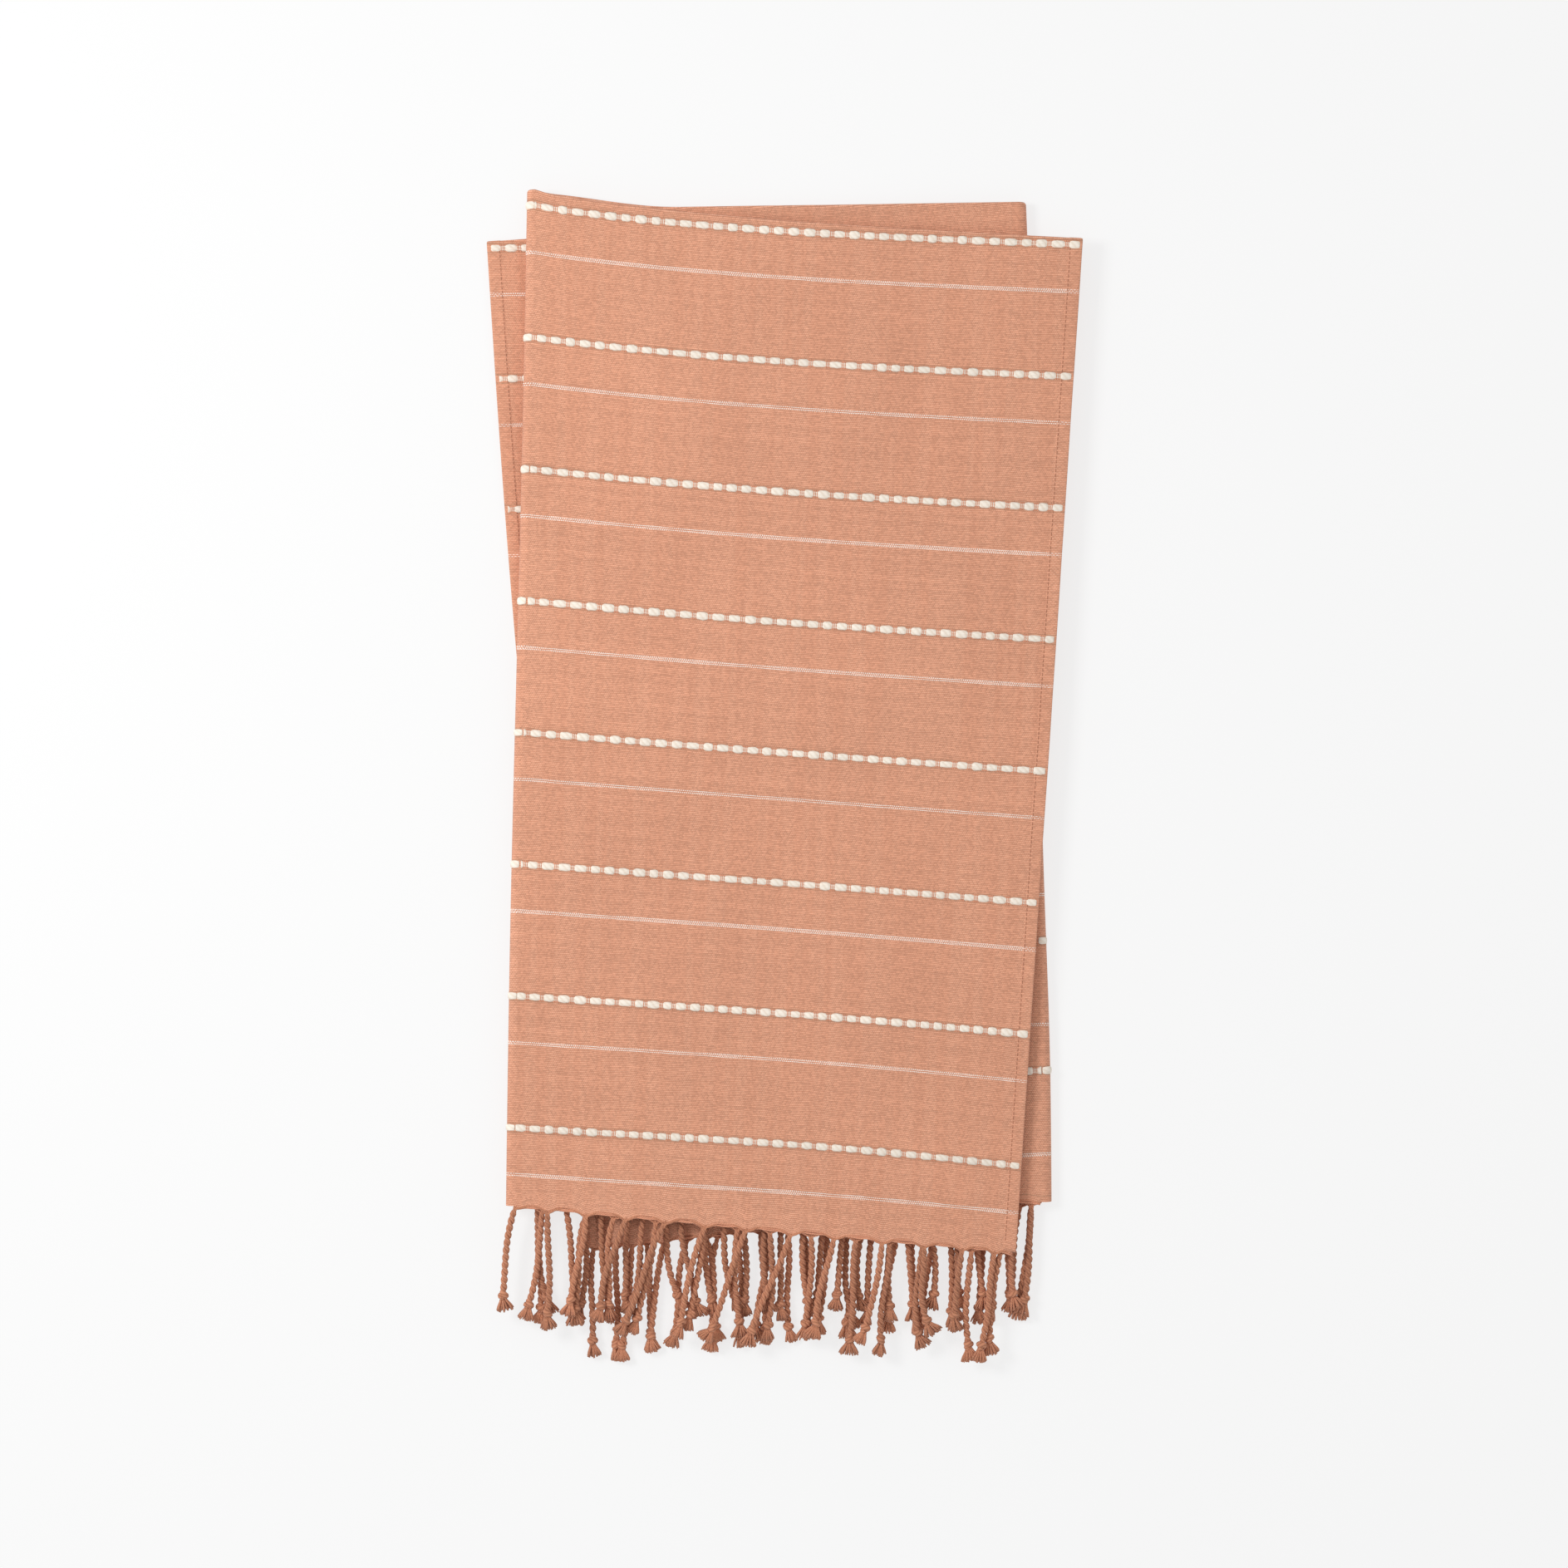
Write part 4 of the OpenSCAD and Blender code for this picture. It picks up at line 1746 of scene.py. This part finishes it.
# ---------------------------------------------------------------------------------------------
# The studio
# ---------------------------------------------------------------------------------------------
@dataclass(frozen=True)
class Studio:
    """A pale, softly lit sweep, a softbox on the left and a camera straight above."""

    floor_size: float = 12.0
    floor_tone: float = 0.21
    floor_glow: float = 0.73
    sky: float = 0.70
    key_power: float = 19.0
    key_size: float = 0.6
    key_place: tuple[float, float, float] = (-1.2, 0.45, 1.5)
    camera_height: float = 2.95
    lens: float = 85.0

    def build(self) -> None:
        """Make the floor, the lights and the camera."""
        scene = bpy.context.scene
        mesh = bmesh.new()
        bmesh.ops.create_grid(mesh, x_segments=1, y_segments=1, size=self.floor_size / 2)
        material = bpy.data.materials.new("studio_floor")
        material.use_nodes = True
        shader = material.node_tree.nodes["Principled BSDF"]
        shader.inputs["Base Color"].default_value = (*[self.floor_tone] * 3, 1)
        shader.inputs["Emission Color"].default_value = (1, 1, 1, 1)
        shader.inputs["Emission Strength"].default_value = self.floor_glow
        shader.inputs["Roughness"].default_value = 0.9
        shader.inputs["Specular IOR Level"].default_value = 0.0
        add_object(mesh, "studio_floor", material)
        world = bpy.data.worlds.new("studio")
        world.use_nodes = True
        background = world.node_tree.nodes["Background"]
        background.inputs["Color"].default_value = (1, 1, 1, 1)
        background.inputs["Strength"].default_value = self.sky
        scene.world = world
        softbox = bpy.data.lights.new("softbox", "AREA")
        softbox.energy, softbox.size = self.key_power, self.key_size
        key = bpy.data.objects.new("softbox", softbox)
        key.location = self.key_place
        key.rotation_euler = Vector(self.key_place).to_track_quat("Z", "Y").to_euler()
        scene.collection.objects.link(key)
        data = bpy.data.cameras.new("camera")
        data.lens, data.sensor_width = self.lens, 36.0
        camera = bpy.data.objects.new("camera", data)
        camera.location = (0, 0, self.camera_height)
        scene.collection.objects.link(camera)
        scene.camera = camera
        scene.view_settings.view_transform = "Standard"


class Throw:
    """The whole folded throw."""

    def __init__(self) -> None:
        """Lay out the cloth and make the finishes."""
        self.stack = Stack(Ruffle())
        self.finishes = Finishes(self.stack.stripe_pitch)
        self.stripes = Stripes(self.stack)
        self.thirds: dict[Section, bpy.types.Object] = {}
        self.folds: dict[tuple[Section, int], bpy.types.Object] = {}
        self.trims: dict[Section, list[str]] = {section: [] for section in Section}

    def fringe_seat(self) -> Seat:
        """The bend of the front fringe where it leaves the cloth."""
        hinge = self.stack.joints["front_fringe_lift"]
        out = Vector(hinge["axis"]).cross(UP)
        out = out if out.y < 0 else -out
        place = Vector(hinge["pos_m"])
        return Seat("front_third", "front_fringe", place - out * 1.0 * MM, place + out * 20 * MM)

    def build_cloth(self) -> None:
        """Build the thirds, folds and hems."""
        cloth, stack = self.finishes.cloth, self.stack
        for section, name, node in (
            (Section.BACK, "back_cloth", "back_panel"),
            (Section.MIDDLE, "middle_cloth", "middle_panel"),
            (Section.FRONT, "front_cloth", "front_panel"),
        ):
            self.thirds[section] = ClothPart(stack, section, cloth).third(name, node)
        for section, ply, name, node in (
            (Section.LEFT_FOLD, 1, "left_fold_outer", "left_fold"),
            (Section.LEFT_FOLD, -1, "left_fold_inner", ""),
            (Section.RIGHT_FOLD, -1, "right_fold_outer", "right_fold"),
            (Section.RIGHT_FOLD, 1, "right_fold_inner", ""),
        ):
            self.folds[section, ply] = ClothPart(stack, section, cloth).fold(name, ply, node)
        for section, side in ((Section.FRONT, "front"), (Section.BACK, "back")):
            hem = Hem(stack, section)
            self.trims[section] += [
                hem.build(f"{side}_hem_band", f"{side}_hem", self.finishes.hem).name,
                hem.stitches(f"{side}_hem_stitches", self.finishes.thread).name,
            ]

    def build_stripes(self) -> None:
        """Build every ivory stripe."""
        kinds = ("thick", "thin", "ties")
        bare = ("", "")
        for section, ply, pieces, nodes in (
            (
                Section.FRONT, 1,
                ("front_thick_yarn_{}", "front_thin_yarn_{}", "front_ties"),
                ("front_thick_stripe_{}", "front_thin_stripe_{}"),
            ),
            (Section.FRONT, -1, ("front_under_yarns", "", "front_under_ties"), bare),
            (
                Section.MIDDLE, -1,
                ("middle_thick_yarns", "middle_thin_yarns", "middle_ties"),
                ("middle_thick_stripes", "middle_thin_stripes"),
            ),
            (Section.MIDDLE, 1, ("middle_under_yarns", "", "middle_under_ties"), bare),
            (
                Section.BACK, 1,
                ("back_thick_yarns", "back_thin_yarns", "back_ties"),
                ("back_thick_stripes", "back_thin_stripes"),
            ),
            (
                Section.LEFT_FOLD, 1,
                ("left_fold_yarns", "left_fold_thin_yarns", "left_fold_ties"), bare,
            ),
            (
                Section.RIGHT_FOLD, -1,
                ("right_fold_yarns", "right_fold_thin_yarns", "right_fold_ties"), bare,
            ),
        ):
            named = {kind: name for kind, name in zip(kinds, pieces) if name}
            replaced = {kind: node for kind, node in zip(kinds, nodes) if node}
            built = self.stripes.build(section, ply, named, replaced, self.finishes)
            self.trims[section] += built

    def build_fringe(self) -> None:
        """Build every tassel and the loose yarns at the cloth's ends."""
        long = (70 * MM, 82 * MM)
        middle_hangs = [MIDDLE_FIRST_CORD, *loose_hangs(5, (-7, 9), long)[1:]]
        rows = (
            (Section.FRONT, "upper", 20.0 * MM, FRONT_CORDS),
            (Section.FRONT, "lower", 15.5 * MM, loose_hangs(3, (-11, 1), long)),
            (Section.MIDDLE, "upper", 12.0 * MM, middle_hangs),
            (Section.MIDDLE, "lower", 9.0 * MM, loose_hangs(8, (-5, 9), long)),
            (Section.BACK, "upper", 6.5 * MM, loose_hangs(9, (-8, 8), long)),
            (Section.BACK, "lower", 5.0 * MM, loose_hangs(12, (-8, 8), long)),
        )
        names = {"front_upper": ("front_cord_{}", "front_tassel_{}")}
        names["front_lower"] = ("front_lower_cords", "front_under_fringe")
        for n, (section, layer, knot_z, hangs) in enumerate(rows):
            row = f"{section.name.lower()}_{layer}"
            fringe = Fringe(self.stack, section, layer == "upper", knot_z, hangs, seed=20 + n)
            seat = self.fringe_seat() if section is Section.FRONT else Seat(BODY[section])
            name, node = names.get(row, (f"{row}_cords", f"{row}_fringe"))
            self.trims[section] += [
                *fringe.build(name, node, seat, self.finishes),
                fringe.last_picks(f"{row}_end_picks", self.finishes),
            ]


def main() -> None:
    """Build the throw and the studio."""
    logging.basicConfig(level=logging.INFO, format="%(name)s: %(message)s")
    Studio().build()
    throw = Throw()
    throw.build_cloth()
    throw.build_stripes()
    throw.build_fringe()


if __name__ == "__main__":
    main()
